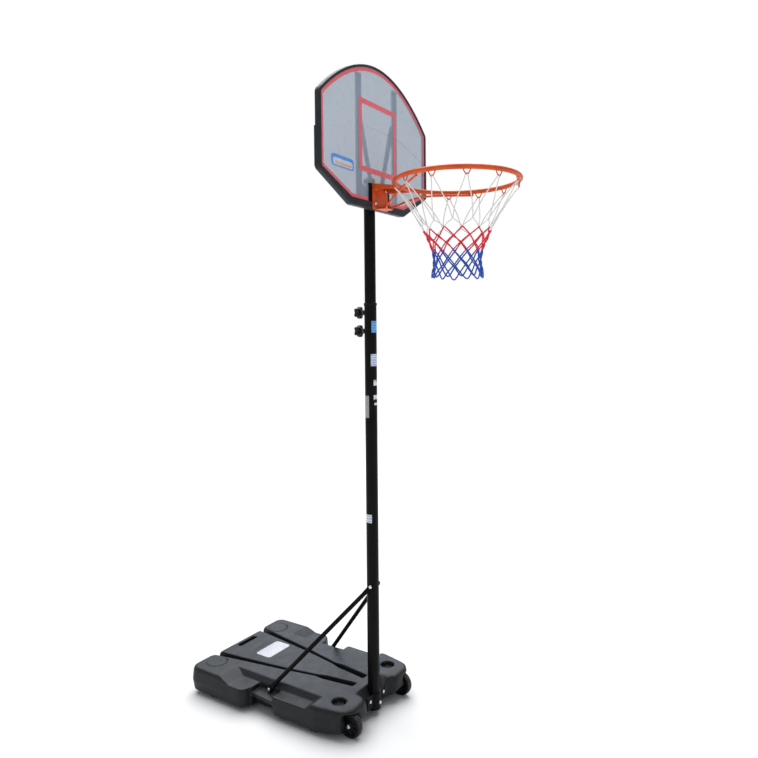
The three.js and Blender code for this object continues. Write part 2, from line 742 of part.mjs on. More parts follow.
function boardOutline() {
  const arch = new THREE.CubicBezierCurve(
    new THREE.Vector2(0, BOARD_TOP),
    new THREE.Vector2(160, BOARD_TOP),
    new THREE.Vector2(298, BOARD_SHOULDER + 84),
    new THREE.Vector2(BOARD_HALF_WIDTH - 6, BOARD_SHOULDER + 6),
  );
  const arched = arch.getPoints(8).map(({ x, y }) => [x, y, 0]);
  return roundedOutline(mirroredCorners([
    ...arched,
    [BOARD_HALF_WIDTH, BOARD_SHOULDER - 6, 0],
    [BOARD_HALF_WIDTH, BOARD_HIP, 18],
    [BOARD_BOTTOM_HALF_WIDTH, BOARD_BOTTOM, 24],
  ]), 4);
}

const BOARD_OUTLINE = boardOutline();

// Everything above the joint between the board's halves, or everything below it.
function boardHalf(upper, gap) {
  const shift = upper ? gap : -gap;
  const end = upper ? BOARD_TOP + 50 : BOARD_BOTTOM - 50;
  const seam = [[-450, SEAM_SIDE], [-BOARD_HALF_WIDTH, SEAM_SIDE], [-130, SEAM_MIDDLE]];
  const mirrored = seam.map(([x, z]) => [-x, z]).reverse();
  const line = [...seam, ...mirrored].map(([x, z]) => point(x, z + shift));
  return uprightPlate([...line, point(450, end), point(-450, end)], BOARD_FRONT - 20, BOARD_BACK + 20);
}

function boardFrame(grow, back) {
  const outline = inset(BOARD_OUTLINE, -grow);
  const shell = uprightPlate(outline, BOARD_FRONT, back);
  const inside = uprightPlate(inset(BOARD_OUTLINE, 4), BOARD_FRONT + BOARD_LIP_THICKNESS, back + 5);
  const opening = inset(BOARD_OUTLINE, BOARD_LIP).map((p) => point(p.x, Math.max(p.y, BOARD_BOTTOM + 25)));
  return carved(shell, inside, uprightPlate(opening, BOARD_FRONT - 5, back));
}

function rimBoltHoles() {
  return RIM_BOLT_HEIGHTS.flatMap((z) => bothSides(shankHole('y', [RIM_BOLT_X, -80, z], 70)));
}

function addBoard() {
  const upperFrame = overlap(boardFrame(0, BOARD_BACK), boardHalf(true, GAP / 2));
  add('board_frame_upper', upperFrame, MATERIALS.boardFrame);
  const lowerFrame = overlap(boardFrame(4, BOARD_BACK + 2), boardHalf(false, GAP / 2));
  add('board_frame_lower', carved(lowerFrame, ...rimBoltHoles()), MATERIALS.boardFrame);

  const face = BOARD_FRONT + BOARD_LIP_THICKNESS + GAP;
  const sheet = uprightPlate(inset(BOARD_OUTLINE, 4 + GAP), face, face + PANEL_THICKNESS);
  add('board_panel_upper', overlap(sheet, boardHalf(true, GAP / 2)), MATERIALS.boardPanel);
  const lowerSheet = overlap(sheet, boardHalf(false, GAP / 2));
  add('board_panel_lower', carved(lowerSheet, ...rimBoltHoles()), MATERIALS.boardPanel);

  const barFace = face + PANEL_THICKNESS + GAP;
  const bar = box([112, barFace, BOARD_BOTTOM + 8], [148, barFace + BAR_THICKNESS, BOARD_TOP - 52]);
  addPair('board_bar', bar, MATERIALS.blackSteel);

  const strapFace = barFace + BAR_THICKNESS + GAP;
  const strap = [[104, 2446], [136, 2446], [56, 2196], [28, 2196]].map(([x, z]) => point(x, z));
  addPair('board_strap', uprightPlate(strap, strapFace, strapFace + 3), MATERIALS.blackSteel);
}

// ---------------------------------------------------------------- board bracket

function addBoardBracket() {
  const [low, high] = [2094, 2192];
  const plate = box([-62, BRACKET_FACE, low], [62, BRACKET_FACE + 3, high]);
  const ear = box([MAST_RADIUS + 0.5, BRACKET_FACE + 1, low], [MAST_RADIUS + 3.5, 16, high]);
  const holes = [...rimBoltHoles(), ...CLAMP_HEIGHTS.map((z) => shankHole('x', [-40, 0, z], 80))];
  add('board_bracket', carved(joined(plate, ...bothSides(ear)), ...holes), MATERIALS.blackSteel);

  const side = MAST_RADIUS + 3.5 + GAP;
  CLAMP_HEIGHTS.forEach((z, i) => {
    const place = ['lower', 'upper'][i];
    const bolt = aimed(hexBolt(2 * side + 8), 'x', -1, [-side, 0, z]);
    add(`clamp_bolt_${place}`, bolt, MATERIALS.zinc);
    add(`clamp_nut_${place}`, aimed(hexNut(), 'x', 1, [side, 0, z]), MATERIALS.zinc);
  });
}

// ---------------------------------------------------------------- rim

function ringTorus(tubeRadius, around, along) {
  const torus = new THREE.TorusGeometry(RIM_RADIUS, tubeRadius, around, along);
  return torus.translate(0, RIM_CENTRE_Y, RIM_HEIGHT);
}

// Pressed bracket: a back plate, a box-section arm to the ring, and a toe for the braces.
function addRimBracket() {
  const half = RIM_PLATE_HALF_WIDTH;
  const reach = RIM_CENTRE_Y + RIM_RADIUS + 2;
  const plate = box([-half, PLATE_FRONT, RIM_PLATE_BOTTOM], [half, PLATE_BACK, RIM_PLATE_TOP]);
  const top = sidePlate([
    point(PLATE_BACK, RIM_PLATE_TOP), point(PLATE_BACK, RIM_PLATE_TOP - 3),
    point(reach, RIM_HEIGHT + 1), point(reach, RIM_HEIGHT + 4),
  ], -half, half);
  const cheek = sidePlate([
    point(PLATE_BACK, RIM_PLATE_TOP - 1), point(PLATE_BACK, RIM_PLATE_TOP - 26),
    point(reach, RIM_HEIGHT - 8), point(reach, RIM_HEIGHT + 3),
  ], half - 3, half);
  const toe = prism(
    roundedOutline([[-30, PLATE_BACK, 0], [30, PLATE_BACK, 0], [26, -100, 8], [-26, -100, 8]], 3),
    RIM_PLATE_BOTTOM,
    RIM_PLATE_BOTTOM + 3,
  );
  const saddle = ringTorus(RIM_TUBE + 0.6, 12, 48);
  const bracket = carved(joined(plate, top, ...bothSides(cheek), toe), saddle, ...rimBoltHoles());
  add('rim_bracket', bracket, MATERIALS.orangeSteel);
}

// Bent wire hook that a net loop hangs on.
function netHook(angle) {
  const low = -RIM_TUBE - 19;
  const wire = rod([
    point(0, -13, -RIM_TUBE + 2), point(0, -8, -RIM_TUBE - 9), point(0, 0, low + 2),
    point(0, 8, -RIM_TUBE - 9), point(0, 13, -RIM_TUBE + 2),
  ], 2, 5, 6);
  return wire.translate(RIM_RADIUS, 0, 0).rotateZ(THREE.MathUtils.degToRad(angle))
    .translate(0, RIM_CENTRE_Y, RIM_HEIGHT);
}

function addRim() {
  const spacing = 360 / HOOK_COUNT;
  const hooks = Array.from({ length: HOOK_COUNT }, (_, i) => netHook(HOOK_FIRST_ANGLE + spacing * i));
  const drain = disc(2, RIM_HEIGHT - 20, RIM_HEIGHT, 8).translate(0, RIM_CENTRE_Y - RIM_RADIUS, 0);
  const hollow = ringTorus(RIM_TUBE - 2.4, 5, 48);
  const ring = carved(joined(ringTorus(RIM_TUBE, 10, 48), ...hooks), hollow, drain);
  add('rim_ring', ring, MATERIALS.orangeSteel);

  const angle = THREE.MathUtils.degToRad(BRACE_ANGLE);
  const end = point(
    RIM_RADIUS * Math.cos(angle),
    RIM_CENTRE_Y + RIM_RADIUS * Math.sin(angle),
    RIM_HEIGHT - RIM_TUBE - BRACE_RADIUS - 0.5,
  );
  const start = point(16, -62, RIM_PLATE_BOTTOM + 3 + GAP + BRACE_RADIUS);
  const bend = point(90, -200, RIM_HEIGHT - 25);
  const brace = rod([start, point(20, -90, start.z), bend, end], BRACE_RADIUS, 8, 12);
  addPair('rim_brace', brace, MATERIALS.orangeSteel);
}

function addRimBolts() {
  const nutPlace = BRACKET_FACE + 3 + GAP;
  RIM_BOLT_HEIGHTS.forEach((z, row) => {
    const level = ['lower', 'upper'][row];
    const bolt = hexBolt(nutPlace - PLATE_FRONT + 9);
    const head = [RIM_BOLT_X, PLATE_FRONT - GAP, z];
    addPair(`rim_bolt_${level}`, aimed(bolt, 'y', -1, head), MATERIALS.zinc);
    addPair(`rim_nut_${level}`, aimed(hexNut(), 'y', 1, [RIM_BOLT_X, nutPlace, z]), MATERIALS.zinc);
  });
}

// ---------------------------------------------------------------- net

// Half-section of the hanging net as [radius, z], from the hooks to the bottom loops.
const NET_PROFILE = [
  [222, 2119], [186, 2073], [142, 2003], [117, 1955], [92, 1894], [88, 1850], [97, 1797],
];

function addNet() {
  const outside = NET_PROFILE.map(([radius, z]) => [radius + 1.2, z]);
  const inside = NET_PROFILE.map(([radius, z]) => [radius - 1.2, z]).reverse();
  const skin = turned([...outside, ...inside, outside[0]], 28);
  add('net', skin.translate(0, RIM_CENTRE_Y, 0), MATERIALS.net);
}

addTank();
addFillerCaps();
addWheels();
addStruts();
addPoles();
addBaseBracket();
addKnobs();
addMast();
addBoard();
addBoardBracket();
addRimBracket();
addRim();
addRimBolts();
addNet();

export default hoop;
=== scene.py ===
"""Looks of the portable basketball hoop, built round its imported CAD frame."""

import math
import random

import bmesh
import bpy
from mathutils import Matrix, Vector
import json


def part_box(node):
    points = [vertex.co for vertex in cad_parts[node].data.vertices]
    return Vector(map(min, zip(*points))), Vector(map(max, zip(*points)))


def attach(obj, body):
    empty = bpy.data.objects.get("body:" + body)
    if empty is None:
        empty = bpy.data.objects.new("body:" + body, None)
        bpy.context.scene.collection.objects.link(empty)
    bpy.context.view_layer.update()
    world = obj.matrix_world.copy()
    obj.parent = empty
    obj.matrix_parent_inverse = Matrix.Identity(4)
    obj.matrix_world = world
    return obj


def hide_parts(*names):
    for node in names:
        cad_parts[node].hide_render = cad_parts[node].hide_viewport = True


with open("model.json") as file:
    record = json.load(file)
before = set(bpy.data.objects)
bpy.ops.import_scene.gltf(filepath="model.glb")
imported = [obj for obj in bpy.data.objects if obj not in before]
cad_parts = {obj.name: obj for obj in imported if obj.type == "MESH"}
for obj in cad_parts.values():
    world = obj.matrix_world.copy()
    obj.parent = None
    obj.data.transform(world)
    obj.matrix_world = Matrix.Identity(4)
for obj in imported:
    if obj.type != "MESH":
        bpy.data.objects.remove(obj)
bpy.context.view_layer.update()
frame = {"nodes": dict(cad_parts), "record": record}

MM = 0.001
TURN = 2 * math.pi


def middle(node):
    """The middle of a CAD node's box."""
    low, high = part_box(node)
    return (Vector(low) + Vector(high)) / 2


POLE_Y = middle("lower_pole").y


def at(x, y, z):
    """A place in millimetres from the foot of the pole's axis, in the frame's metres."""
    return Vector((x * MM, y * MM + POLE_Y, z * MM))


def around(count, offset=0.0):
    """Evenly spaced angles of a full turn."""
    return [TURN * (i + offset) / count for i in range(count)]


def new_object(name, data):
    """An object in the scene for a mesh, light or camera."""
    thing = bpy.data.objects.new(name, data)
    bpy.context.scene.collection.objects.link(thing)
    return thing


# ---- camera, floor and light

CAMERA_PLACE = at(-2335.3, -1573.0, 1611.8)
CAMERA_AIM = Vector((0.83555, 0.54831, -0.03494))
CAMERA_ROLL = math.radians(-0.4992)
CAMERA_LENS = 32.604
CAMERA_SHIFT_Y = -0.03645
SENSOR_WIDTH = 36
FLOOR_HALF = 30
SKY_STRENGTH = 0.52
SUN_POWER = 3.8
SUN_SPREAD = math.radians(64)
SUN_DIRECTION = Vector((-0.30, -0.28, -1))
BEHIND_PLACE = Vector((5.2, 3.6, 3.3))
BEHIND_AIM = Vector((0, 0.2, 0.1))


def make_camera():
    data = bpy.data.cameras.new("camera")
    data.lens = CAMERA_LENS
    data.sensor_width = SENSOR_WIDTH
    data.shift_y = CAMERA_SHIFT_Y
    data.clip_start = 0.05
    data.clip_end = 60
    camera = new_object("camera", data)
    aim = CAMERA_AIM.to_track_quat("-Z", "Y").to_matrix().to_4x4()
    camera.matrix_world = Matrix.Translation(CAMERA_PLACE) @ aim @ Matrix.Rotation(CAMERA_ROLL, 4, "Z")
    bpy.context.scene.camera = camera


def make_floor():
    mesh = bpy.data.meshes.new("floor")
    corners = [(x * FLOOR_HALF, y * FLOOR_HALF, 0) for x, y in ((-1, -1), (1, -1), (1, 1), (-1, 1))]
    mesh.from_pydata(corners, [], [(0, 1, 2, 3)])
    floor = new_object("floor", mesh)
    graph = Graph("floor", 0.9, 0.1)
    graph.set("Base Color", (0.665, 0.667, 0.67, 1))
    mesh.materials.append(graph.material)


def lamp(name, kind, direction, power):
    """A light that shines one way."""
    light = new_object(name, bpy.data.lights.new(name, kind))
    light.data.energy = power
    light.rotation_mode = "QUATERNION"
    light.rotation_quaternion = direction.to_track_quat("-Z", "Y")
    return light


def make_light():
    """A white cyclorama as the camera sees it, a dimmer sky for everything else, and a broad soft sun."""
    bpy.context.scene.view_settings.view_transform = "Standard"
    world = bpy.data.worlds.new("studio")
    bpy.context.scene.world = world
    world.use_nodes = True
    nodes, links = world.node_tree.nodes, world.node_tree.links
    nodes.clear()
    path = nodes.new("ShaderNodeLightPath")
    mix = nodes.new("ShaderNodeMixShader")
    out = nodes.new("ShaderNodeOutputWorld")
    links.new(path.outputs["Is Camera Ray"], mix.inputs[0])
    for socket, colour, strength in ((1, (0.96, 0.98, 1, 1), SKY_STRENGTH), (2, (1, 1, 1, 1), 1.0)):
        shade = nodes.new("ShaderNodeBackground")
        shade.inputs["Color"].default_value = colour
        shade.inputs["Strength"].default_value = strength
        links.new(shade.outputs[0], mix.inputs[socket])
    links.new(mix.outputs[0], out.inputs["Surface"])

    sun = lamp("sun", "SUN", SUN_DIRECTION, SUN_POWER)
    sun.data.angle = SUN_SPREAD
    behind = lamp("behind", "AREA", BEHIND_AIM - BEHIND_PLACE, 84)
    behind.location = BEHIND_PLACE
    behind.data.shape = "DISK"
    behind.data.size = 4.6
    behind.data.color = (0.64, 0.80, 1)
    behind.visible_camera = False
    behind.visible_transmission = False


# ---- materials

class Graph:
    """A Principled material, with short ways to add the nodes that every surface here uses."""

    def __init__(self, name, roughness, specular=0.5, metallic=0.0):
        self.material = bpy.data.materials.new(name)
        self.material.use_nodes = True
        self.nodes = self.material.node_tree.nodes
        self.links = self.material.node_tree.links
        self.shader = self.nodes["Principled BSDF"]
        self.set("Roughness", roughness)
        self.set("Specular IOR Level", specular)
        self.set("Metallic", metallic)
        self.place = self.nodes.new("ShaderNodeTexCoord").outputs["Object"]

    def set(self, socket, value):
        self.shader.inputs[socket].default_value = value

    def link(self, source, target):
        self.links.new(source, target)

    def noise(self, scale, detail=3.0, stretch=(1, 1, 1)):
        mapping = self.nodes.new("ShaderNodeMapping")
        mapping.inputs["Scale"].default_value = stretch
        self.link(self.place, mapping.inputs["Vector"])
        texture = self.nodes.new("ShaderNodeTexNoise")
        texture.inputs["Scale"].default_value = scale
        texture.inputs["Detail"].default_value = detail
        self.link(mapping.outputs[0], texture.inputs["Vector"])
        return texture.outputs["Fac"]

    def ramp(self, source, stops):
        """Stops are (position, colour), with a grey given as one number."""
        node = self.nodes.new("ShaderNodeValToRGB")
        ramp = node.color_ramp
        while len(ramp.elements) < len(stops):
            ramp.elements.new(0.5)
        for element, (position, colour) in zip(ramp.elements, stops):
            element.position = position
            rgb = (colour,) * 3 if isinstance(colour, (int, float)) else colour
            element.color = (*rgb, 1)
        self.link(source, node.inputs[0])
        return node.outputs["Color"]

    def mottle(self, scale, detail, low, high):
        """Soft patches of two colours, or of two values."""
        return self.ramp(self.noise(scale, detail), [(0.3, low), (0.7, high)])

    def math(self, operation, a, b):
        node = self.nodes.new("ShaderNodeMath")
        node.operation = operation
        for socket, value in zip(node.inputs, (a, b)):
            if isinstance(value, (int, float)):
                socket.default_value = value
            else:
                self.link(value, socket)
        return node.outputs[0]

    def mix(self, factor, a, b):
        node = self.nodes.new("ShaderNodeMix")
        node.data_type = "RGBA"
        self.link(factor, node.inputs["Factor"])
        for socket, value in ((node.inputs["A"], a), (node.inputs["B"], b)):
            if isinstance(value, tuple):
                socket.default_value = (*value, 1)
            else:
                self.link(value, socket)
        return node.outputs["Result"]

    def axis(self, letter):
        node = self.nodes.new("ShaderNodeSeparateXYZ")
        self.link(self.place, node.inputs[0])
        return node.outputs[letter]

    def band(self, source, centre, half):
        """1 within a distance of a value, and 0 outside it."""
        away = self.math("ABSOLUTE", self.math("SUBTRACT", source, centre), 0)
        return self.math("LESS_THAN", away, half)

    def colour(self, source):
        self.link(source, self.shader.inputs["Base Color"])

    def roughness(self, source):
        self.link(source, self.shader.inputs["Roughness"])

    def bump(self, height, distance, strength=1.0):
        node = self.nodes.new("ShaderNodeBump")
        node.inputs["Distance"].default_value = distance
        node.inputs["Strength"].default_value = strength
        self.link(height, node.inputs["Height"])
        self.link(node.outputs[0], self.shader.inputs["Normal"])


def tank_material():
    """Blow-moulded polyethylene: fine grain, faint flow marks and dusty scuffs."""
    g = Graph("tank_plastic", 0.45, 0.24)
    broad = g.mottle(5, 4, (0.0080, 0.0088, 0.0110), (0.0110, 0.0121, 0.0150))
    dust = g.ramp(g.noise(38, 6), [(0.56, 0), (0.72, 0.35)])
    g.colour(g.mix(dust, broad, (0.026, 0.028, 0.032)))
    g.roughness(g.mottle(22, 5, 0.38, 0.5))
    grain = g.math("MULTIPLY", g.noise(1500, 2), 0.5)
    swell = g.math("MULTIPLY", g.noise(14, 2), 3.0)
    g.bump(g.math("ADD", grain, swell), 0.00045)
    return g.material


def plastic_material(name, dark, light, rough):
    """Moulded plastic with a slightly uneven colour and a fine grain."""
    g = Graph(name, rough, 0.22)
    g.colour(g.ramp(g.noise(30, 4), [(0.35, dark), (0.7, light)]))
    g.roughness(g.mottle(60, 4, rough - 0.07, rough + 0.1))
    g.bump(g.noise(900, 2), 0.00012)
    return g.material


WORN_TREAD = 0.0468


def wheel_material():
    """Hard black plastic whose tread is scuffed grey."""
    g = Graph("wheel_plastic", 0.6, 0.2)
    away = g.nodes.new("ShaderNodeVectorMath")
    away.operation = "LENGTH"
    hub = g.nodes.new("ShaderNodeVectorMath")
    hub.operation = "MULTIPLY_ADD"
    g.link(g.place, hub.inputs[0])
    hub.inputs[1].default_value = (0, 1, 1)
    centre = middle("wheel_left")
    hub.inputs[2].default_value = (0, -centre.y, -centre.z)
    g.link(hub.outputs[0], away.inputs[0])
    worn = g.math("GREATER_THAN", away.outputs["Value"], WORN_TREAD)
    scuff = g.ramp(g.noise(150, 6), [(0.38, 0.0), (0.62, 0.85)])
    mask = g.math("MULTIPLY", worn, scuff)
    body = g.mottle(40, 4, (0.004, 0.004, 0.005), (0.008, 0.008, 0.009))
    g.colour(g.mix(mask, body, (0.055, 0.055, 0.060)))
    g.bump(g.noise(420, 5), 0.0006)
    return g.material


def black_steel_material():
    """Satin black powder coat with fine orange peel and a few rubbed spots."""
    g = Graph("black_steel", 0.36, 0.08)
    coat = g.mottle(12, 4, (0.0030, 0.0030, 0.0032), (0.0055, 0.0055, 0.0060))
    rub = g.ramp(g.noise(240, 6, (1, 1, 0.12)), [(0.70, 0), (0.76, 0.5)])
    g.colour(g.mix(rub, coat, (0.020, 0.020, 0.021)))
    g.roughness(g.mottle(80, 5, 0.30, 0.42))
    g.bump(g.noise(1100, 2), 0.00008)
    return g.material


def zinc_material():
    """Bright zinc plating, faintly mottled."""
    g = Graph("zinc_steel", 0.3, metallic=1.0)
    g.colour(g.mottle(300, 5, (0.60, 0.62, 0.66), (0.86, 0.87, 0.90)))
    g.roughness(g.mottle(500, 5, 0.2, 0.42))
    g.bump(g.noise(900, 3), 0.00006)
    return g.material


def galvanised_material():
    """Dull galvanised strip with faint spangle."""
    g = Graph("galvanised_steel", 0.5, metallic=0.25)
    spangle = g.nodes.new("ShaderNodeTexVoronoi")
    spangle.inputs["Scale"].default_value = 95
    g.link(g.place, spangle.inputs["Vector"])
    g.colour(g.ramp(spangle.outputs["Distance"], [(0.1, (0.44, 0.46, 0.48)), (0.7, (0.56, 0.58, 0.60))]))
    g.roughness(g.mottle(120, 5, 0.42, 0.58))
    g.bump(g.noise(700, 3), 0.00006)
    return g.material


def orange_material():
    """Orange powder coat, chipped and darker where the ball and weather wear it."""
    g = Graph("orange_steel", 0.38, 0.3)
    coat = g.mottle(16, 5, (0.56, 0.064, 0.004), (0.69, 0.096, 0.008))
    chips = g.ramp(g.noise(420, 7), [(0.71, 0), (0.74, 0.85)])
    g.colour(g.mix(chips, coat, (0.10, 0.03, 0.02)))
    g.roughness(g.mottle(90, 5, 0.3, 0.46))
    g.bump(g.noise(1300, 2), 0.0001)
    return g.material


def panel_material():
    """Smoked sheet, clear enough to show what is behind it, with a faint haze."""
    g = Graph("panel_plastic", 0.3, 0.35)
    g.colour(g.mottle(3.2, 3, (0.33, 0.415, 0.52), (0.37, 0.455, 0.56)))
    g.roughness(g.mottle(30, 5, 0.24, 0.38))
    g.bump(g.noise(9, 2), 0.0006, 0.5)
    g.set("Alpha", 0.55)
    return g.material


def print_material(name, colour):
    """Screen-printed ink with faint mottling."""
    g = Graph(name, 0.4, 0.3)
    paler = tuple(min(1, c * 1.12 + 0.01) for c in colour)
    g.colour(g.mottle(45, 5, colour, paler))
    g.bump(g.noise(700, 3), 0.00004)
    return g.material


def cord_material(name, colour, dark):
    """Twisted polypropylene cord: fine fibres and shaded strands."""
    g = Graph(name, 0.7, 0.2)
    g.colour(g.ramp(g.noise(260, 5), [(0.3, dark), (0.55, colour)]))
    g.bump(g.noise(1800, 3, (1, 1, 0.35)), 0.0002)
    g.set("Sheen Weight", 0.15)
    return g.material


def label_material(name, paper, ink, rows, low, high, axis="Z"):
    """A plain sticker with rows of broken bars in place of print, between two places on an axis."""
    g = Graph(name, 0.45)
    row_height = (high - low) / rows
    row_place = g.math("DIVIDE", g.math("SUBTRACT", g.axis(axis), low), row_height)
    bars = g.band(g.math("FRACT", row_place, 0), 0.5, 0.22)
    broken = g.ramp(g.noise(210, 3), [(0.45, 0), (0.5, 1)])
    mask = g.math("MULTIPLY", bars, broken)
    g.colour(g.mix(mask, paper, ink))
    g.bump(g.noise(300, 3), 0.00006)
    return g.material


TANK = tank_material()
WHEEL = wheel_material()
BLACK_PLASTIC = plastic_material("black_plastic", (0.004, 0.004, 0.0045), (0.008, 0.008, 0.009), 0.4)
BLACK_STEEL = black_steel_material()
ZINC = zinc_material()
GALVANISED = galvanised_material()
ORANGE = orange_material()
FRAME = plastic_material("frame_plastic", (0.014, 0.019, 0.024), (0.021, 0.028, 0.034), 0.42)
PANEL = panel_material()
RED_PRINT = print_material("red_print", (0.72, 0.135, 0.165))
WHITE_CORD = cord_material("white_cord", (0.76, 0.755, 0.74), (0.62, 0.615, 0.60))
RED_CORD = cord_material("red_cord", (0.76, 0.018, 0.048), (0.46, 0.010, 0.028))
BLUE_CORD = cord_material("blue_cord", (0.014, 0.095, 0.52), (0.008, 0.05, 0.32))

# ---- mesh tools


def as_mesh(name, bm):
    mesh = bpy.data.meshes.new(name)
    bm.to_mesh(mesh)
    bm.free()
    return mesh


def finish_mesh(name, mesh, material, body, replaced=(), sharp=32):
    """Shades a mesh, sharp where it bends by more degrees, and makes it a piece that rides on a body."""
    mesh.polygons.foreach_set("use_smooth", [True] * len(mesh.polygons))
    mesh.set_sharp_from_angle(angle=math.radians(sharp))
    mesh.materials.clear()
    mesh.materials.append(material)
    piece = new_object(name, mesh)
    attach(piece, body)
    if replaced:
        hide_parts(*replaced)


def build(name, maker):
    """A mesh whose bmesh is filled by a function."""
    bm = bmesh.new()
    maker(bm)
    bmesh.ops.recalc_face_normals(bm, faces=bm.faces)
    return as_mesh(name, bm)


def loft(bm, rings, caps=True, endless=False):
    """A skin through closed rings of points, with the last ring joined to the first if it is endless."""
    made = [[bm.verts.new(p) for p in ring] for ring in rings]
    count = len(made[0])
    pairs = list(zip(made, made[1:]))
    if endless:
        pairs.append((made[-1], made[0]))
    for low, high in pairs:
        for i in range(count):
            j = (i + 1) % count
            bm.faces.new((low[i], low[j], high[j], high[i]))
    if caps and not endless:
        bm.faces.new(list(reversed(made[0])))
        bm.faces.new(made[-1])


def lathe(bm, profile, segments, place=Matrix.Identity(4), close=False):
    """A profile of (radius, height) turned about Z, capped at its ends unless it closes on itself."""
    rings = []
    for radius, height in profile:
        circle = [Vector((radius * math.cos(a), radius * math.sin(a), height)) for a in around(segments)]
        rings.append([place @ p for p in circle])
    loft(bm, rings, caps=not close, endless=close)


def smooth_path(points, step):
    """A Catmull-Rom curve through the points, sampled about every step."""
    points = [Vector(p) for p in points]
    ends = [2 * points[0] - points[1], *points, 2 * points[-1] - points[-2]]
    path = []
    for a, b, c, d in zip(ends, ends[1:], ends[2:], ends[3:]):
        count = max(2, round((c - b).length / step))
        for i in range(count):
            t = i / count
            path.append(0.5 * (2 * b + (c - a) * t + (2 * a - 5 * b + 4 * c - d) * t * t
                               + (3 * b - a - 3 * c + d) * t ** 3))
    path.append(points[-1])
    return path


def sweep(bm, path, size, sides, lobes=0, twist=0.0, swell=0.0):
    """A tube along a path. Lobes that turn along the path make it a laid cord."""
    side = None
    rings = []
    turned = 0.0
    for i, p in enumerate(path):
        ahead = (path[min(i + 1, len(path) - 1)] - path[max(i - 1, 0)]).normalized()
        if side is None:
            side = ahead.orthogonal().normalized()
        side = (side - ahead * side.dot(ahead)).normalized()
        other = ahead.cross(side)
        if i:
            turned += twist * (p - path[i - 1]).length
        ring = []
        for angle in around(sides):
            reach = size * (1 + swell * math.cos(lobes * (angle + turned))) if lobes else size
            ring.append(p + side * (reach * math.cos(angle)) + other * (reach * math.sin(angle)))
        rings.append(ring)
    loft(bm, rings)


BODY = {node: body for body, nodes in frame["record"]["behaviour"]["bodies"].items() for node in nodes}
SLOT = {part["node"]: part["material_slot"] for part in frame["record"]["subparts"]}


def looks(node, fill, material, sharp=32):
    """A piece that a function makes in place of a CAD node, with the node's body."""
    name = node + "_looks"
    finish_mesh(name, build(name, fill), material, BODY[node], [node], sharp)


def extra(name, fill, material, body, sharp=32):
    """A piece that a function makes and that CAD doesn't have."""
    finish_mesh(name, build(name, fill), material, body, sharp=sharp)


SAME_PLACE = 2e-5
FLAT = math.radians(1.5)
EDGE = math.radians(40)


def refined(node, material, width):
    """A CAD node with its edges rounded and its small facets shaded smooth."""

    def fill(bm):
        bm.from_mesh(frame["nodes"][node].data)
        bmesh.ops.remove_doubles(bm, verts=bm.verts, dist=SAME_PLACE)
        bmesh.ops.dissolve_limit(bm, angle_limit=FLAT, verts=bm.verts, edges=bm.edges)
        edges = [e for e in bm.edges if len(e.link_faces) == 2 and e.calc_face_angle() > EDGE]
        bmesh.ops.bevel(
            bm, geom=edges, offset=width * MM, segments=2, profile=0.6, affect="EDGES", clamp_overlap=True,
        )

    looks(node, fill, material)


# ---- ballast tank

TANK_TOP = 121
PARTING = 64
FILLER_X, FILLER_Y = 205, 710
POCKET_X, POCKET_Y = 179, 47
NECK_PLUG = [(32.5 * MM, 60 * MM), (32.5 * MM, 92 * MM)]
VOXEL = 2.7
KEPT_SHARE = 0.36
SIDES = (("left", -1), ("right", 1))


def applied(piece):
    """The mesh of an object with its modifiers applied. The object itself goes."""
    depsgraph = bpy.context.evaluated_depsgraph_get()
    mesh = bpy.data.meshes.new_from_object(piece.evaluated_get(depsgraph))
    bpy.data.objects.remove(piece)
    return mesh


def tank_skin():
    """The tank's outer skin: edges rounded over, hollow left out, filler necks plugged below the caps."""
    bm = bmesh.new()
    bm.from_mesh(frame["nodes"]["base_tank"].data)
    for _, side in SIDES:
        lathe(bm, NECK_PLUG, 32, Matrix.Translation(at(FILLER_X * side, FILLER_Y, 0)))
    bmesh.ops.remove_doubles(bm, verts=bm.verts, dist=1e-6)
    piece = new_object("tank_skin", as_mesh("tank_skin", bm))
    remesh = piece.modifiers.new("remesh", "REMESH")
    remesh.mode = "VOXEL"
    remesh.voxel_size = VOXEL * MM
    smooth = piece.modifiers.new("smooth", "SMOOTH")
    smooth.factor = 0.5
    smooth.iterations = 8
    return applied(piece)


def thinned(mesh, ratio):
    """The same surface from fewer triangles."""
    piece = new_object("thinned", mesh)
    fewer = piece.modifiers.new("fewer", "DECIMATE")
    fewer.ratio = ratio
    return applied(piece)


def largest_shell(bm):
    """Deletes every loose shell but the one that reaches furthest from front to back."""
    left = set(bm.verts)
    shells = []
    while left:
        seed = left.pop()
        shell = {seed}
        front = [seed]
        while front:
            for edge in front.pop().link_edges:
                for vert in edge.verts:
                    if vert in left:
                        left.discard(vert)
                        shell.add(vert)
                        front.append(vert)
        shells.append(shell)
    shells.sort(key=lambda shell: max(v.co.y for v in shell) - min(v.co.y for v in shell))
    loose = [v for shell in shells[:-1] for v in shell]
    bmesh.ops.delete(bm, geom=loose, context="VERTS")


LOBE_INNER, LOBE_LOW = 0.095, 0.068
POCKET_CLEARANCE = 0.042


def soften_lobes(bm):
    """The two front lobes are blown rounder than the rest, more so toward the tip."""
    pockets = [at(POCKET_X * side, POCKET_Y, 0) for _, side in SIDES]
    every_axis = {"use_axis_x": True, "use_axis_y": True, "use_axis_z": True}
    for reach, passes in ((95, 10), (60, 22), (25, 26)):
        front = at(0, reach, 0).y
        soft = []
        for v in bm.verts:
            clear = all((v.co.xy - p.xy).length > POCKET_CLEARANCE for p in pockets)
            if v.co.y < front and abs(v.co.x) > LOBE_INNER and v.co.z > LOBE_LOW and clear:
                soft.append(v)
        for _ in range(passes):
            bmesh.ops.smooth_vert(bm, verts=soft, factor=0.5, **every_axis)


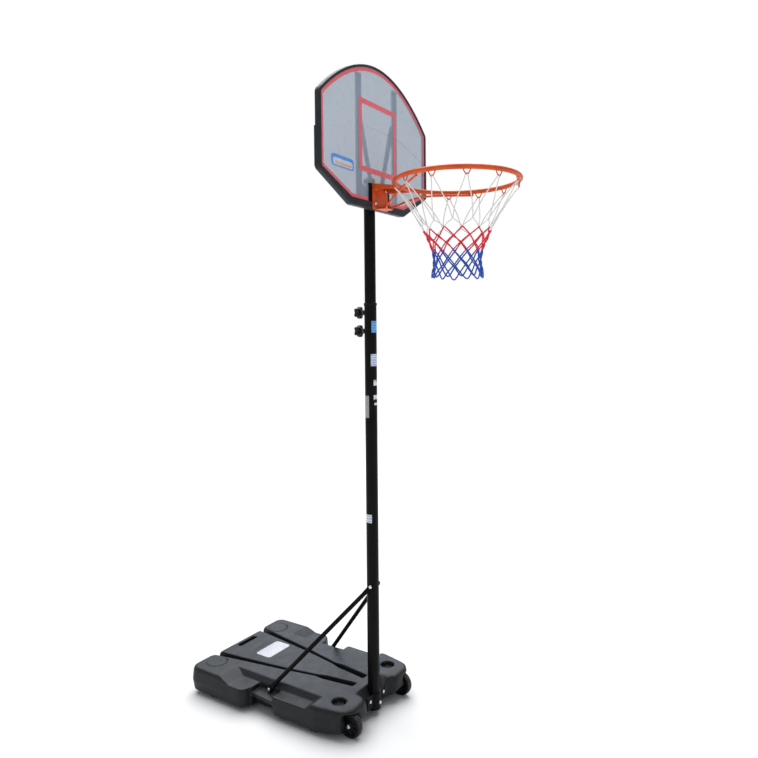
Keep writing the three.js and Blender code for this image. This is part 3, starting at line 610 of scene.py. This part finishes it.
BED_WIDE, BED_LONG, BED_DEEP = 0.042, 0.014, 0.0022
BED_LOWEST = 0.115


def press_emblem_bed(bm):
    """Shallow oval recess behind the label."""
    centre = at(0, 652, TANK_TOP)
    for v in bm.verts:
        if v.co.z > BED_LOWEST:
            across, along = (v.co.x - centre.x) / BED_WIDE, (v.co.y - centre.y) / BED_LONG
            v.co.z -= BED_DEEP * math.exp(-((across * across + along * along) ** 2))


def loops_at(mesh, height):
    """The outlines in which a level plane cuts a mesh."""
    bm = bmesh.new()
    bm.from_mesh(mesh)
    everything = bm.verts[:] + bm.edges[:] + bm.faces[:]
    cut = bmesh.ops.bisect_plane(
        bm, geom=everything, plane_co=(0, 0, height), plane_no=(0, 0, 1),
        clear_inner=True, clear_outer=True,
    )
    edges = [g for g in cut["geom_cut"] if isinstance(g, bmesh.types.BMEdge)]
    links = {}
    for edge in edges:
        a, b = edge.verts
        links.setdefault(a, []).append(b)
        links.setdefault(b, []).append(a)
    loops = []
    left = set(links)
    for start in sorted(links, key=lambda v: (v.co.x, v.co.y)):
        if start not in left:
            continue
        loop = [start]
        left.discard(start)
        while True:
            ahead = [v for v in links[loop[-1]] if v in left]
            if not ahead:
                break
            loop.append(ahead[0])
            left.discard(ahead[0])
        loops.append([v.co.copy() for v in loop])
    bm.free()
    return loops


def even_path(points, count):
    """Evenly spaced points along a closed loop."""
    closed = points + points[:1]
    lengths = [0.0]
    for a, b in zip(closed, closed[1:]):
        lengths.append(lengths[-1] + (b - a).length)
    path = []
    k = 0
    for i in range(count):
        goal = lengths[-1] * i / count
        while lengths[k + 1] < goal:
            k += 1
        span = max(lengths[k + 1] - lengths[k], 1e-9)
        path.append(closed[k].lerp(closed[k + 1], (goal - lengths[k]) / span))
    return path


def ring_tube(bm, path, radius, sides, flat):
    """A tube along a closed loop that lies level, its height a share of its width."""
    rings = []
    for i, p in enumerate(path):
        ahead = (path[(i + 1) % len(path)] - path[i - 1]).normalized()
        side = ahead.cross(Vector((0, 0, 1))).normalized()
        ring = []
        for angle in around(sides):
            rise = Vector((0, 0, radius * flat * math.sin(angle)))
            ring.append(p + side * (radius * math.cos(angle)) + rise)
        rings.append(ring)
    loft(bm, rings, endless=True)


def make_tank():
    mesh = tank_skin()
    bm = bmesh.new()
    bm.from_mesh(mesh)
    largest_shell(bm)
    soften_lobes(bm)
    press_emblem_bed(bm)
    bm.to_mesh(mesh)
    bm.free()
    outline = max(loops_at(mesh, PARTING * MM), key=len)
    mesh = thinned(mesh, KEPT_SHARE)
    mesh.name = "tank"
    finish_mesh("tank", mesh, TANK, "base", ["base_tank"], sharp=180)

    ridge = even_path(outline, 900)
    flash = lambda bm: ring_tube(bm, ridge, 1.7 * MM, sides=6, flat=0.8)
    extra("tank_parting_line", flash, TANK, "base", 60)


def make_pocket_ribs():
    """Upright ribs round the wall of each pocket, thinner toward the pocket's middle."""
    count, wall = 9, 31.0
    pocket_floor = 100.5
    thin, thick = 0.9, 1.6

    def ribs(side):
        foot = at(POCKET_X * side, POCKET_Y, pocket_floor)

        def fill(bm):
            for angle in around(count, 0.5):
                out = Vector((math.cos(angle), math.sin(angle), 0))
                along = Vector((-out.y, out.x, 0))
                rings = []
                for reach, height in ((22.5, 0.0), (23.5, 12.0), (26.5, 17.0)):
                    inner = foot + out * (reach * MM) + Vector((0, 0, height * MM))
                    outer = foot + out * (wall * MM) + Vector((0, 0, height * MM))
                    tip, root = along * (thin * MM), along * (thick * MM)
                    rings.append([inner - tip, inner + tip, outer + root, outer - root])
                loft(bm, rings)
        return fill

    for name, side in SIDES:
        extra("pocket_ribs_" + name, ribs(side), TANK, "base")


def make_filler_caps():
    """Flush caps with a rounded edge, a shallow groove and a small finger notch."""
    profile = [
        (0.2, 99.4), (29.2, 99.4), (30.2, 100.4), (30.2, 115.5), (44.4, 115.5), (45.3, 116.4),
        (45.3, 119.6), (44.9, 120.5), (44.0, 120.95), (41.5, 120.95), (40.9, 120.6), (40.2, 120.6),
        (39.5, 120.95), (38.9, 121.0), (38.0, 121.0), (0.2, 121.0),
    ]
    segments = 72
    notch_angle, notch_half, notch_depth = math.radians(-38), 0.075, 6.5
    notch_inner, notch_floor = 39, 117

    def cap(side):
        centre = at(FILLER_X * side, FILLER_Y, 0)

        def fill(bm):
            rings = []
            for radius, height in profile:
                notched = radius > notch_inner and height > notch_floor
                ring = []
                for angle in around(segments):
                    away = (angle - notch_angle + math.pi) % TURN - math.pi
                    dip = notch_depth * math.exp(-((away / notch_half) ** 4)) if notched else 0
                    reach = (radius - dip) * MM
                    p = Vector((reach * math.cos(angle), reach * math.sin(angle), height * MM))
                    ring.append(centre + p)
                rings.append(ring)
            loft(bm, rings)
        return fill

    for name, side in SIDES:
        looks("filler_cap_" + name, cap(side), TANK)


def rounded_rectangle(width, depth, radius, steps=6):
    """Corner points of a flat rounded rectangle about the origin."""
    outline = []
    for quarter, (sx, sy) in enumerate(((1, 1), (-1, 1), (-1, -1), (1, -1))):
        for i in range(steps + 1):
            angle = math.radians(90 * quarter + 90 * i / steps)
            outline.append((
                sx * (width / 2 - radius) + radius * math.cos(angle),
                sy * (depth / 2 - radius) + radius * math.sin(angle),
            ))
    return outline


def make_tank_label():
    """A plain pale label on the tank's top, a little right of the middle."""
    width, depth, radius = 146, 84, 13
    centre_x, centre_y = 15, 571
    outline = rounded_rectangle(width, depth, radius)

    def fill(bm):
        rings = []
        for height, shrink in ((120.2, 0.0), (121.35, 0.0), (121.5, 0.4)):
            scale = 1 - shrink / (width / 2)
            rings.append([at(centre_x + x * scale, centre_y + y * scale, height) for x, y in outline])
        loft(bm, rings)

    low, high = (at(0, centre_y + side * depth / 2, 0).y for side in (-1, 1))
    paper = label_material("tank_label", (0.50, 0.50, 0.54), (0.30, 0.30, 0.36), 9, low, high, "Y")
    extra("tank_label", fill, paper, "base")


# ---- wheels


def make_wheels():
    """Solid plastic wheels: crowned tread, dished web with ribs, raised hub."""
    face = -14
    near = [
        (6.4, face + 0.5), (7.2, face), (13.6, face), (14.8, face + 1), (16.5, face + 7), (18, face + 8.2),
        (35.5, face + 8.2), (37.5, face + 7.2), (39.4, face + 1.2), (40.6, face + 0.3), (45, face + 0.3),
        (47.6, face + 1.4), (49.0, face + 3.2), (49.7, face + 5.5), (50.0, -5),
    ]
    profile = near + [(radius, -height) for radius, height in reversed(near)]
    ribs = 8
    rib_reach = (15.0, 38.6)
    rib_corners = ((-1.6, 4.0), (1.6, 4.0), (1.1, 11.0), (-1.1, 11.0))
    for name in ("wheel_left", "wheel_right"):
        place = Matrix.Translation(middle(name)) @ Matrix.Rotation(math.pi / 2, 4, "Y")

        def fill(bm):
            lathe(bm, [(r * MM, z * MM) for r, z in profile], 72, place, close=True)
            for angle in around(ribs, 0.5):
                turn = place @ Matrix.Rotation(angle, 4, "Z")
                for side in (-1, 1):
                    rings = []
                    for reach in rib_reach:
                        corners = [Vector((reach * MM, y * MM, side * z * MM)) for y, z in rib_corners]
                        rings.append([turn @ corner for corner in corners])
                    loft(bm, rings)

        looks(name, fill, WHEEL)


# ---- pole and struts

POLE = 25
POLE_WALL = 1.5
BORE = POLE - POLE_WALL
POLE_FOOT = 30
POLE_JOINT = 1240
POLE_MOUTH = 1712
MAST = 23.1
MAST_FOOT = 1420
MAST_TOP = 2210


def upright_tube(node, profile):
    """A black tube on the pole's axis, from a closed profile of (radius, height)."""
    axis = Matrix.Translation(at(0, 0, 0))
    points = [(radius * MM, height * MM) for radius, height in profile]
    looks(node, lambda bm: lathe(bm, points, 72, axis, close=True), BLACK_STEEL)


def make_poles():
    """The pole's three tubes and its collar. POLE, BORE and MAST are radii."""
    lower = [
        (POLE - 0.4, POLE_FOOT), (POLE, POLE_FOOT + 0.4), (POLE, POLE_JOINT - 0.5),
        (POLE - 0.5, POLE_JOINT), (BORE, POLE_JOINT), (BORE, POLE_FOOT),
    ]
    upright_tube("lower_pole", lower)
    neck = BORE - 0.3
    neck_foot = POLE_JOINT - 90
    step = POLE_JOINT + 0.3
    middle_profile = [
        (neck, neck_foot), (neck, step - 0.2), (neck + 0.5, step), (POLE - 0.5, step),
        (POLE, step + 0.5), (POLE, POLE_MOUTH), (BORE, POLE_MOUTH), (BORE, step + 6),
        (neck - POLE_WALL, step), (neck - POLE_WALL, neck_foot),
    ]
    upright_tube("middle_pole", middle_profile)
    collar = [
        (POLE + 0.3, POLE_MOUTH - 11), (POLE + 1.5, POLE_MOUTH - 11), (POLE + 2, POLE_MOUTH - 10.2),
        (POLE + 2, POLE_MOUTH - 1), (POLE + 1, POLE_MOUTH), (POLE + 0.3, POLE_MOUTH),
    ]
    upright_tube("pole_collar", collar)
    upper = [
        (MAST, MAST_FOOT), (MAST, MAST_TOP - 0.4), (MAST - 0.4, MAST_TOP),
        (MAST - POLE_WALL, MAST_TOP), (MAST - POLE_WALL, MAST_FOOT),
    ]
    upright_tube("upper_pole", upper)


def strut_rings(side, sides):
    """Round tube that flattens into an eye at each end, as rings from top to foot."""
    top, foot = Vector((27.2 * side, -8, 545)), Vector((217 * side, 385, 90))
    along = (foot - top).normalized()
    level = Vector((0, along.y, along.z)).normalized()
    eye = [
        (level, -9.0, 5.0, 1.2), (level, -8.4, 6.2, 1.5), (level, -5, 8.9, 1.5), (level, 0, 10.4, 1.5),
        (level, 13, 10.5, 1.5), (along, 22, 10.3, 3.4), (along, 32, 9.6, 6.8), (along, 41, 9, 9),
    ]
    stations = [(top, 1, *station) for station in eye] + [(foot, -1, *station) for station in reversed(eye)]
    rings = []
    for origin, way, direction, distance, width, thickness in stations:
        sideways = (Vector((1, 0, 0)) - direction * direction.x).normalized()
        upright = direction.cross(sideways)
        centre = origin + direction * (way * distance)
        ring = []
        for angle in around(sides):
            p = centre + upright * (width * math.cos(angle)) + sideways * (thickness * math.sin(angle))
            ring.append(at(*p))
        rings.append(ring)
    return rings


def make_struts():
    for name, side in SIDES:
        looks("strut_" + name, lambda bm: loft(bm, strut_rings(side, 32)), BLACK_STEEL, 50)


def pole_patch(name, bottom, top, bearing, half, material):
    """A sticker wrapped round the pole between two heights, by so many degrees each way from a bearing."""
    columns, rows = 14, 6
    gap, thickness = 0.06, 0.14

    def sheet(bm, reach):
        grid = []
        for r in range(rows + 1):
            height = bottom + (top - bottom) * r / rows
            angles = [math.radians(bearing + half * (2 * c / columns - 1)) for c in range(columns + 1)]
            line = [at(reach * math.cos(a), reach * math.sin(a), height) for a in angles]
            grid.append([bm.verts.new(p) for p in line])
        return grid

    def fill(bm):
        lower, upper = sheet(bm, POLE + gap), sheet(bm, POLE + gap + thickness)
        for r in range(rows):
            for c in range(columns):
                bm.faces.new((upper[r][c], upper[r][c + 1], upper[r + 1][c + 1], upper[r + 1][c]))
                bm.faces.new((lower[r][c], lower[r + 1][c], lower[r + 1][c + 1], lower[r][c + 1]))
        rim = [(r, 0) for r in range(rows)] + [(rows, c) for c in range(columns)]
        rim += [(r, columns) for r in range(rows, 0, -1)] + [(0, c) for c in range(columns, 0, -1)]
        for (r0, c0), (r1, c1) in zip(rim, rim[1:] + rim[:1]):
            bm.faces.new((lower[r0][c0], lower[r1][c1], upper[r1][c1], upper[r0][c0]))

    extra(name, fill, material, "base")


def make_stickers():
    """Plain coloured stickers, with broken bars where a maker's print would be."""
    blue = label_material("sticker_blue", (0.13, 0.42, 0.80), (0.03, 0.20, 0.58), 4, 1.591, 1.638)
    pale = label_material("sticker_pale", (0.62, 0.70, 0.88), (0.20, 0.27, 0.48), 5, 1.454, 1.503)
    white = label_material("sticker_white", (0.70, 0.72, 0.78), (0.02, 0.02, 0.03), 4, 1.30, 1.41)
    grey = label_material("sticker_grey", (0.26, 0.26, 0.27), (0.42, 0.42, 0.42), 12, 1.242, 1.333)
    small = label_material("sticker_small", (0.66, 0.72, 0.80), (0.30, 0.34, 0.40), 3, 0.809, 0.843)
    front = 268
    patches = (
        (1591, 1638, front, 46, blue), (1454, 1503, front, 54, pale), (1374, 1399, front, 30, white),
        (1316, 1336, front, 30, white), (1294, 1304, front, 22, white), (1242, 1333, 158, 35, grey),
        (809, 843, 168, 43, small),
    )
    for letter, patch in zip("abcdefg", patches):
        pole_patch("sticker_" + letter, *patch)


# ---- star knobs


def make_knobs():
    """Knobs with five lobes, a dished face, a hub and a stud. Stations end with how lobed they are."""
    lobes, lobe_depth, sides = 5, 0.16, 90
    seat = 33.8
    profile = [
        (4.0, -9.0, 0), (4.0, 0.2, 0), (10.4, 0.2, 0), (11.0, 0.9, 0), (11.0, 10.0, 0),
        (13.0, 11.0, 0.2), (21.5, 11.2, 1), (24.0, 12.6, 1), (25.6, 15.5, 1), (26.0, 20.0, 1),
        (26.0, 28.0, 1), (25.2, 31.5, 1), (23.4, 33.8, 1), (20.5, 34.8, 1), (14.0, 33.6, 0.5),
        (9.0, 32.8, 0), (8.4, 33.4, 0), (8.0, 33.6, 0), (0.3, 33.8, 0),
    ]
    for name, knob_height in (("star_knob_upper", 1673), ("star_knob_lower", 1597)):
        place = Matrix.Translation(at(0, seat, knob_height)) @ Matrix.Rotation(-math.pi / 2, 4, "X")

        def fill(bm):
            rings = []
            for radius, height, star in profile:
                ring = []
                for angle in around(sides):
                    wave = math.cos(lobes * angle)
                    reach = radius * (1 - star * lobe_depth * (1 - wave)) * MM
                    p = Vector((reach * math.cos(angle), reach * math.sin(angle), height * MM))
                    ring.append(place @ p)
                rings.append(ring)
            loft(bm, rings)

        looks(name, fill, BLACK_PLASTIC, 40)


# ---- backboard

BOARD_TOP = 2648
BOARD_BOTTOM = 2085
BOARD_HALF = 385
SHOULDER = 2464
HIP = 2188
BOTTOM_HALF = 190
SEAM_SIDE = 2335
SEAM_MIDDLE = 2402
SEAM_FLAT = 130
FACE = -50
PANEL_FACE = -45.7


def fillet(before, corner, after, radius, steps):
    """Points of the arc that rounds a corner."""
    back, ahead = (before - corner).normalized(), (after - corner).normalized()
    half = back.angle(ahead) / 2
    centre = corner + (back + ahead).normalized() * (radius / math.sin(half))
    start = corner + back * (radius / math.tan(half)) - centre
    end = corner + ahead * (radius / math.tan(half)) - centre
    turn = start.angle_signed(end)
    arc = []
    for i in range(steps + 1):
        angle = -turn * i / steps
        c, s = math.cos(angle), math.sin(angle)
        arc.append(centre + Vector((start.x * c - start.y * s, start.x * s + start.y * c)))
    return arc


def board_half_outline():
    """The board's outline in x and z from the top of the arch down to the bottom, x > 0."""
    a, b, c, d = (Vector(p) for p in (
        (0, BOARD_TOP), (160, BOARD_TOP), (298, SHOULDER + 84), (BOARD_HALF - 6, SHOULDER + 6),
    ))
    outline = []
    for i in range(33):
        t = i / 32
        outline.append(a * (1 - t) ** 3 + b * (3 * t * (1 - t) ** 2)
                       + c * (3 * t * t * (1 - t)) + d * t ** 3)
    pitch = 40
    heights = [SHOULDER - 6, *range(SHOULDER - pitch, SEAM_SIDE, -pitch), SEAM_SIDE]
    heights += range(SEAM_SIDE - pitch, HIP + 30, -pitch)
    outline += [Vector((BOARD_HALF, height)) for height in heights]
    hip, foot = Vector((BOARD_HALF, HIP)), Vector((BOTTOM_HALF, BOARD_BOTTOM))
    outline += fillet(outline[-1], hip, foot, 18, 8)
    outline += fillet(hip, foot, Vector((0, BOARD_BOTTOM)), 24, 8)
    outline.append(Vector((60, BOARD_BOTTOM)))
    outline.append(Vector((0, BOARD_BOTTOM)))
    return outline


RIGHT_HALF = board_half_outline()
BOARD_OUTLINE = RIGHT_HALF + [Vector((-p.x, p.y)) for p in reversed(RIGHT_HALF[1:-1])]


def inset(outline, distance):
    """A closed outline moved inwards."""
    moved = []
    count = len(outline)
    for i, p in enumerate(outline):
        a = (p - outline[i - 1]).normalized()
        b = (outline[(i + 1) % count] - p).normalized()
        normal = Vector((a.y + b.y, -a.x - b.x)).normalized()
        stretch = 1 / max(0.6, normal.dot(Vector((a.y, -a.x))))
        moved.append(p + normal * (distance * stretch))
    return moved


def frame_section(grow, back):
    """Closed cross-section of the board's rim as (inset, depth)."""
    lip = 11
    return [
        (lip - 0.8, FACE + 0.1), (4.5, FACE), (2.2, FACE + 0.3), (0.7 - grow, FACE + 1.6),
        (-grow, FACE + 4.2), (-grow, back - 2.2), (0.6 - grow, back - 0.6), (1.8 - grow, back),
        (3.2, back), (4.0, back - 0.8), (4.0, FACE + 4.4), (lip - 0.4, FACE + 4.0),
        (lip, FACE + 3.2), (lip, FACE + 0.8),
    ]


def make_board_frame():
    """Two moulded channels that grip the panels' edges: the lower one steps out at the joint."""
    count = len(BOARD_OUTLINE)
    lip_floor, lip_inset = BOARD_BOTTOM + 25, 9
    gap = 0.2
    joint = [i for i in range(count) if abs(BOARD_OUTLINE[i].y - SEAM_SIDE) < 0.5]
    right = max(joint, key=lambda i: BOARD_OUTLINE[i].x)
    left = min(joint, key=lambda i: BOARD_OUTLINE[i].x)
    over_top = [i % count for i in range(left, right + count + 1)]
    under_bottom = list(range(right, left + 1))
    for name, upper, grow, back in (("upper", True, 0.0, -27), ("lower", False, 4.0, -25)):
        profile = frame_section(grow, back)
        section = [(inset(BOARD_OUTLINE, distance), distance, depth) for distance, depth in profile]
        order = over_top if upper else under_bottom

        def fill(bm):
            rings = []
            for i in order:
                ring = []
                for moved, distance, depth in section:
                    x, z = moved[i]
                    if distance > lip_inset and not upper:
                        z = max(z, lip_floor)
                    if i in (order[0], order[-1]):
                        z += gap if upper else -gap
                    ring.append(at(x, depth, z))
                rings.append(ring)
            loft(bm, rings)

        looks("board_frame_" + name, fill, FRAME, 40)


def seam_height(x):
    """Height of the joint between the panels at a place across the board."""
    rise = (BOARD_HALF - abs(x)) / (BOARD_HALF - SEAM_FLAT)
    return SEAM_SIDE + (SEAM_MIDDLE - SEAM_SIDE) * min(1, max(0, rise))


def plate(bm, outline, front, back, eased):
    """A flat outline in x and z between two depths, its front edge eased."""
    inner = inset(outline, eased)
    rings = [
        [at(p.x, front, p.y) for p in inner],
        [at(p.x, front + eased, p.y) for p in outline],
        [at(p.x, back, p.y) for p in outline],
    ]
    loft(bm, rings)


def make_panels():
    """The sheet's two halves, which meet at a bent seam."""
    margin, half_gap, thickness = 4.5, 0.12, 3
    outline = inset(BOARD_OUTLINE, margin)
    edge = BOARD_HALF - margin
    bends = [Vector((x, seam_height(x))) for x in (-370, -300, -220, -130, 0, 130, 220, 300, 370)]
    seam = [Vector((-edge, SEAM_SIDE)), *bends, Vector((edge, SEAM_SIDE))]
    for name, up in (("upper", 1), ("lower", -1)):
        keep = [p for p in outline if (p.y - SEAM_SIDE) * up > 0.5]
        keep.sort(key=lambda p: math.atan2(p.x, (p.y - SEAM_SIDE) * up))
        corners = keep + [Vector((p.x, p.y + half_gap * up)) for p in reversed(seam)]
        if name == "lower":
            corners.reverse()
        sheet = lambda bm: plate(bm, corners, PANEL_FACE, PANEL_FACE + thickness, 0.4)
        looks("board_panel_" + name, sheet, PANEL, 30)


def strip(bm, outer, inner, front, back):
    """A flat printed band between two closed outlines with as many points."""
    lines = [(line, depth) for line in (outer, inner) for depth in (front, back)]
    loops = [[bm.verts.new(at(p.x, depth, p.y)) for p in line] for line, depth in lines]
    outer_front, outer_back, inner_front, inner_back = loops
    count = len(outer)
    for i in range(count):
        j = (i + 1) % count
        bm.faces.new((outer_front[i], outer_front[j], inner_front[j], inner_front[i]))
        bm.faces.new((outer_back[i], inner_back[i], inner_back[j], outer_back[j]))
        bm.faces.new((outer_front[i], outer_back[i], outer_back[j], outer_front[j]))
        bm.faces.new((inner_front[i], inner_front[j], inner_back[j], inner_back[i]))


INK_FRONT = PANEL_FACE - 0.18


def make_prints():
    """Red border and target square, printed on the panels."""

    def edge(distance, lowest):
        return [Vector((p.x, max(p.y, lowest))) for p in inset(BOARD_OUTLINE, distance)]

    def square(half, low, high):
        return [Vector(p) for p in ((-half, low), (-half, high), (half, high), (half, low))]

    line = 21
    half, low, high = 135.5, 2222, 2504
    bands = (
        ("board_border", edge(11.3, BOARD_BOTTOM + 26), edge(25, BOARD_BOTTOM + 40)),
        ("board_target", square(half, low, high), square(half - line, low + line, high - line)),
    )
    for name, outer, inner in bands:
        band = lambda bm: strip(bm, outer, inner, INK_FRONT, PANEL_FACE)
        extra(name, band, RED_PRINT, "mast")


def make_badge():
    """A plain three-layer badge in place of the maker's, tilted a little."""
    centre = Vector((-243, 2230))
    cos, sin = math.cos(math.radians(-1)), math.sin(math.radians(-1))
    parts = (
        ("badge_plate", 0, 0, 142, 44, 14, (0.08, 0.28, 0.72), 0.0),
        ("badge_face", 1, -4, 124, 26, 9, (0.52, 0.60, 0.70), 0.12),
        ("badge_strip", 6, -8, 106, 9, 4, (0.70, 0.40, 0.26), 0.24),
    )
    for name, dx, dz, width, height, radius, colour, lift in parts:
        corners = [(x + dx, z + dz) for x, z in rounded_rectangle(width, height, radius, 8)]
        outline = [Vector((x * cos - z * sin, x * sin + z * cos)) + centre for x, z in reversed(corners)]
        layer = lambda bm: plate(bm, outline, INK_FRONT - lift, PANEL_FACE, 0.05)
        extra(name, layer, print_material(name, colour), "mast")


# ---- ring

RING_Y = -397.5
RING_Z = 2159
RING = 234
RING_TUBE = 9
HOOKS = 12
HOOK_FIRST = 5
HOOK_WIRE = 2.1


def hook_bearing(hook):
    return HOOK_FIRST + 360 / HOOKS * hook


def round_ring(degrees, radius, height):
    """A place given by its bearing and distance from the ring's centre."""
    angle = math.radians(degrees)
    return at(radius * math.cos(angle), RING_Y + radius * math.sin(angle), height)


def hook_path(degrees):
    """Wire under the ring that a net loop hangs on, from weld to weld."""
    spread = math.degrees(1 / RING)
    half = [(13.5, -6.5), (12.6, -9.5), (10.6, -14), (8.0, -19), (4.6, -24.2)]
    stations = [(-across, drop) for across, drop in half] + [(0, -26.2)] + half[::-1]
    return [round_ring(degrees + across * spread, RING, RING_Z + drop) for across, drop in stations]


def make_ring():
    """The ring with its hooks welded on."""
    segments, sides = 120, 24

    def fill(bm):
        rings = []
        for i in range(segments):
            degrees = 360 * i / segments
            ring = []
            for angle in around(sides):
                reach = RING + RING_TUBE * math.cos(angle)
                ring.append(round_ring(degrees, reach, RING_Z + RING_TUBE * math.sin(angle)))
            rings.append(ring)
        loft(bm, rings, endless=True)
        for k in range(HOOKS):
            sweep(bm, smooth_path(hook_path(hook_bearing(k)), 2.5 * MM), HOOK_WIRE * MM, 10)

    looks("rim_ring", fill, ORANGE, 60)


def make_braces():
    """Bent rods from the bracket's toe to the underside of the ring."""
    angle = math.radians(10.5)
    radius = 4.5
    end = (RING * math.cos(angle), RING_Y + RING * math.sin(angle), RING_Z - RING_TUBE - radius - 0.5)
    bracket_toe = 2083 + 3
    start_height = bracket_toe + 0.3 + radius
    route = [(16, -62, start_height), (20, -90, start_height), (90, -200, RING_Z - 25), end]
    for name, side in SIDES:
        path = smooth_path([at(x * side, y, z) for x, y, z in route], 9 * MM)
        looks("rim_brace_" + name, lambda bm: sweep(bm, path, radius * MM, 20), ORANGE, 50)


# ---- net

NET_SHAPE = [(2137, 233), (2073, 186), (2003, 142), (1955, 117), (1894, 92), (1850, 88), (1797, 96)]
PEAK = 1973
KNOT = 2002
BELOW_KNOT = 1986
WEAVE = 2.3
HALF_STEPS = 6
STEP_DROP = 29.3
HALF_PITCH = 180 / HOOKS
COLOUR_CHANGE = 2.6
CORDS = {"net_white": (WHITE_CORD, 2.0), "net_red": (RED_CORD, 2.6), "net_blue": (BLUE_CORD, 2.8)}
CORD_STEP = 3.2
LAY = 15


def net_radius(height):
    """How wide the net is at a height."""
    for (high, wide), (low, narrow) in zip(NET_SHAPE, NET_SHAPE[1:]):
        if height >= low:
            t = (height - low) / (high - low)
            return narrow + (wide - narrow) * min(1, t)
    return NET_SHAPE[-1][1]


def net_nodes(hook, way, jitter):
    """Places of one strand, from just beside its hook down to the bottom, with their levels."""
    bearing = hook_bearing(hook)
    nodes = []
    for share, height in ((0.14, 2118), (0.45, 2075), (0.75, 2036)):
        nodes.append((bearing + way * HALF_PITCH * share, net_radius(height) + way * 0.6, height, -1.5))
    nodes.append((bearing + way * HALF_PITCH, net_radius(KNOT) + way * 1.8, KNOT, -1))
    nodes.append((bearing + way * 23, net_radius(BELOW_KNOT) - way * 0.6, BELOW_KNOT, -0.5))
    for level in range(HALF_STEPS + 1):
        height = PEAK - STEP_DROP * level
        weave = 0 if level == HALF_STEPS else way * WEAVE * (1 if level % 2 else -1)
        crossing = bearing + way * HALF_PITCH * (2 + level)
        swing, lift = jitter[(round(crossing) % 360, level)]
        nodes.append((crossing + swing, net_radius(height) + weave, height + lift, level))
    return nodes


def make_net():
    """Twelve hung loops of laid cord, crossed down to the tail: white, then red, then blue."""
    draw = random.Random(7)
    jitter = {}
    for bearing in range(0, 360):
        for level in range(HALF_STEPS + 1):
            swing = 1.3 if level == HALF_STEPS else 0.8
            jitter[(bearing, level)] = (draw.uniform(-swing, swing), draw.uniform(-2.5, 2.5))
    paths = {name: [] for name in CORDS}
    for hook in range(HOOKS):
        bearing = hook_bearing(hook)
        left, right = ([n for n in net_nodes(hook, way, jitter) if n[3] <= 0] for way in (-1, 1))
        crown = [(bearing - 1.1, 233.5, 2132.5), (bearing, 234, 2138.2), (bearing + 1.1, 233.5, 2132.5)]
        paths["net_white"].append(cord_path(left[::-1] + crown + right))
    for hook in range(HOOKS):
        partner = (hook + HALF_STEPS + 2) % HOOKS
        down, up = (
            [n for n in net_nodes(start, way, jitter) if n[3] >= 0]
            for start, way in ((hook, 1), (partner, -1))
        )
        split_by_colour(cord_path(down + up[-2::-1]), paths)
    for name, (material, radius) in CORDS.items():
        def fill(bm):
            for path in paths[name]:
                sweep(bm, path, radius * MM, 9, lobes=3, twist=TURN / (LAY * MM) / 3, swell=0.11)
        finish_mesh(name, build(name, fill), material, "mast", ["net"], 60)


def cord_path(nodes):
    """The curve through nodes that start with a bearing, a distance and a height."""
    return smooth_path([round_ring(*node[:3]) for node in nodes], CORD_STEP * MM)


def split_by_colour(path, paths):
    """Red above the colour change and blue below it, with the ends shared."""
    runs = []
    for p in path:
        level = (PEAK - p.z / MM) / STEP_DROP
        name = "net_red" if level < COLOUR_CHANGE else "net_blue"
        if not runs or runs[-1][0] != name:
            start = [runs[-1][1][-1]] if runs else []
            runs.append((name, start))
        runs[-1][1].append(p)
    for name, run in runs:
        if len(run) > 2:
            paths[name].append(run)


# ---- brackets, bars and fasteners

REFINED = (
    (BLACK_PLASTIC, 1.0, ("pole_foot_plug", "pole_top_cap")),
    (BLACK_STEEL, 0.6, ("pole_base_bracket", "knob_nut_upper", "knob_nut_lower", "board_bracket")),
    (ORANGE, 0.8, ("rim_bracket",)),
)
ZINC_ROUNDING = 0.6


def make_small_parts():
    """CAD nodes that only need rounder edges: brackets and nuts, then all that is zinc plated."""
    for material, width, nodes in REFINED:
        for node in nodes:
            refined(node, material, width)
    for node, slot in SLOT.items():
        if slot == "zinc_steel":
            strip_steel = node.startswith(("board_bar", "board_strap"))
            refined(node, GALVANISED if strip_steel else ZINC, ZINC_ROUNDING)


def make_rim_spacer():
    """Black packing plate between the panel and the rim's bracket."""
    width, height, centre_height = 148, 71, 2147
    front = -50.2
    outline = [Vector((x, z + centre_height)) for x, z in reversed(rounded_rectangle(width, height, 4))]
    spacer = lambda bm: plate(bm, outline, front, PANEL_FACE - 0.2, 0.5)
    extra("rim_spacer", spacer, BLACK_STEEL, "mast")


make_camera()
make_floor()
make_light()
make_tank()
make_pocket_ribs()
make_filler_caps()
make_tank_label()
make_wheels()
make_poles()
make_struts()
make_stickers()
make_knobs()
make_board_frame()
make_panels()
make_prints()
make_badge()
make_ring()
make_braces()
make_net()
make_small_parts()
make_rim_spacer()
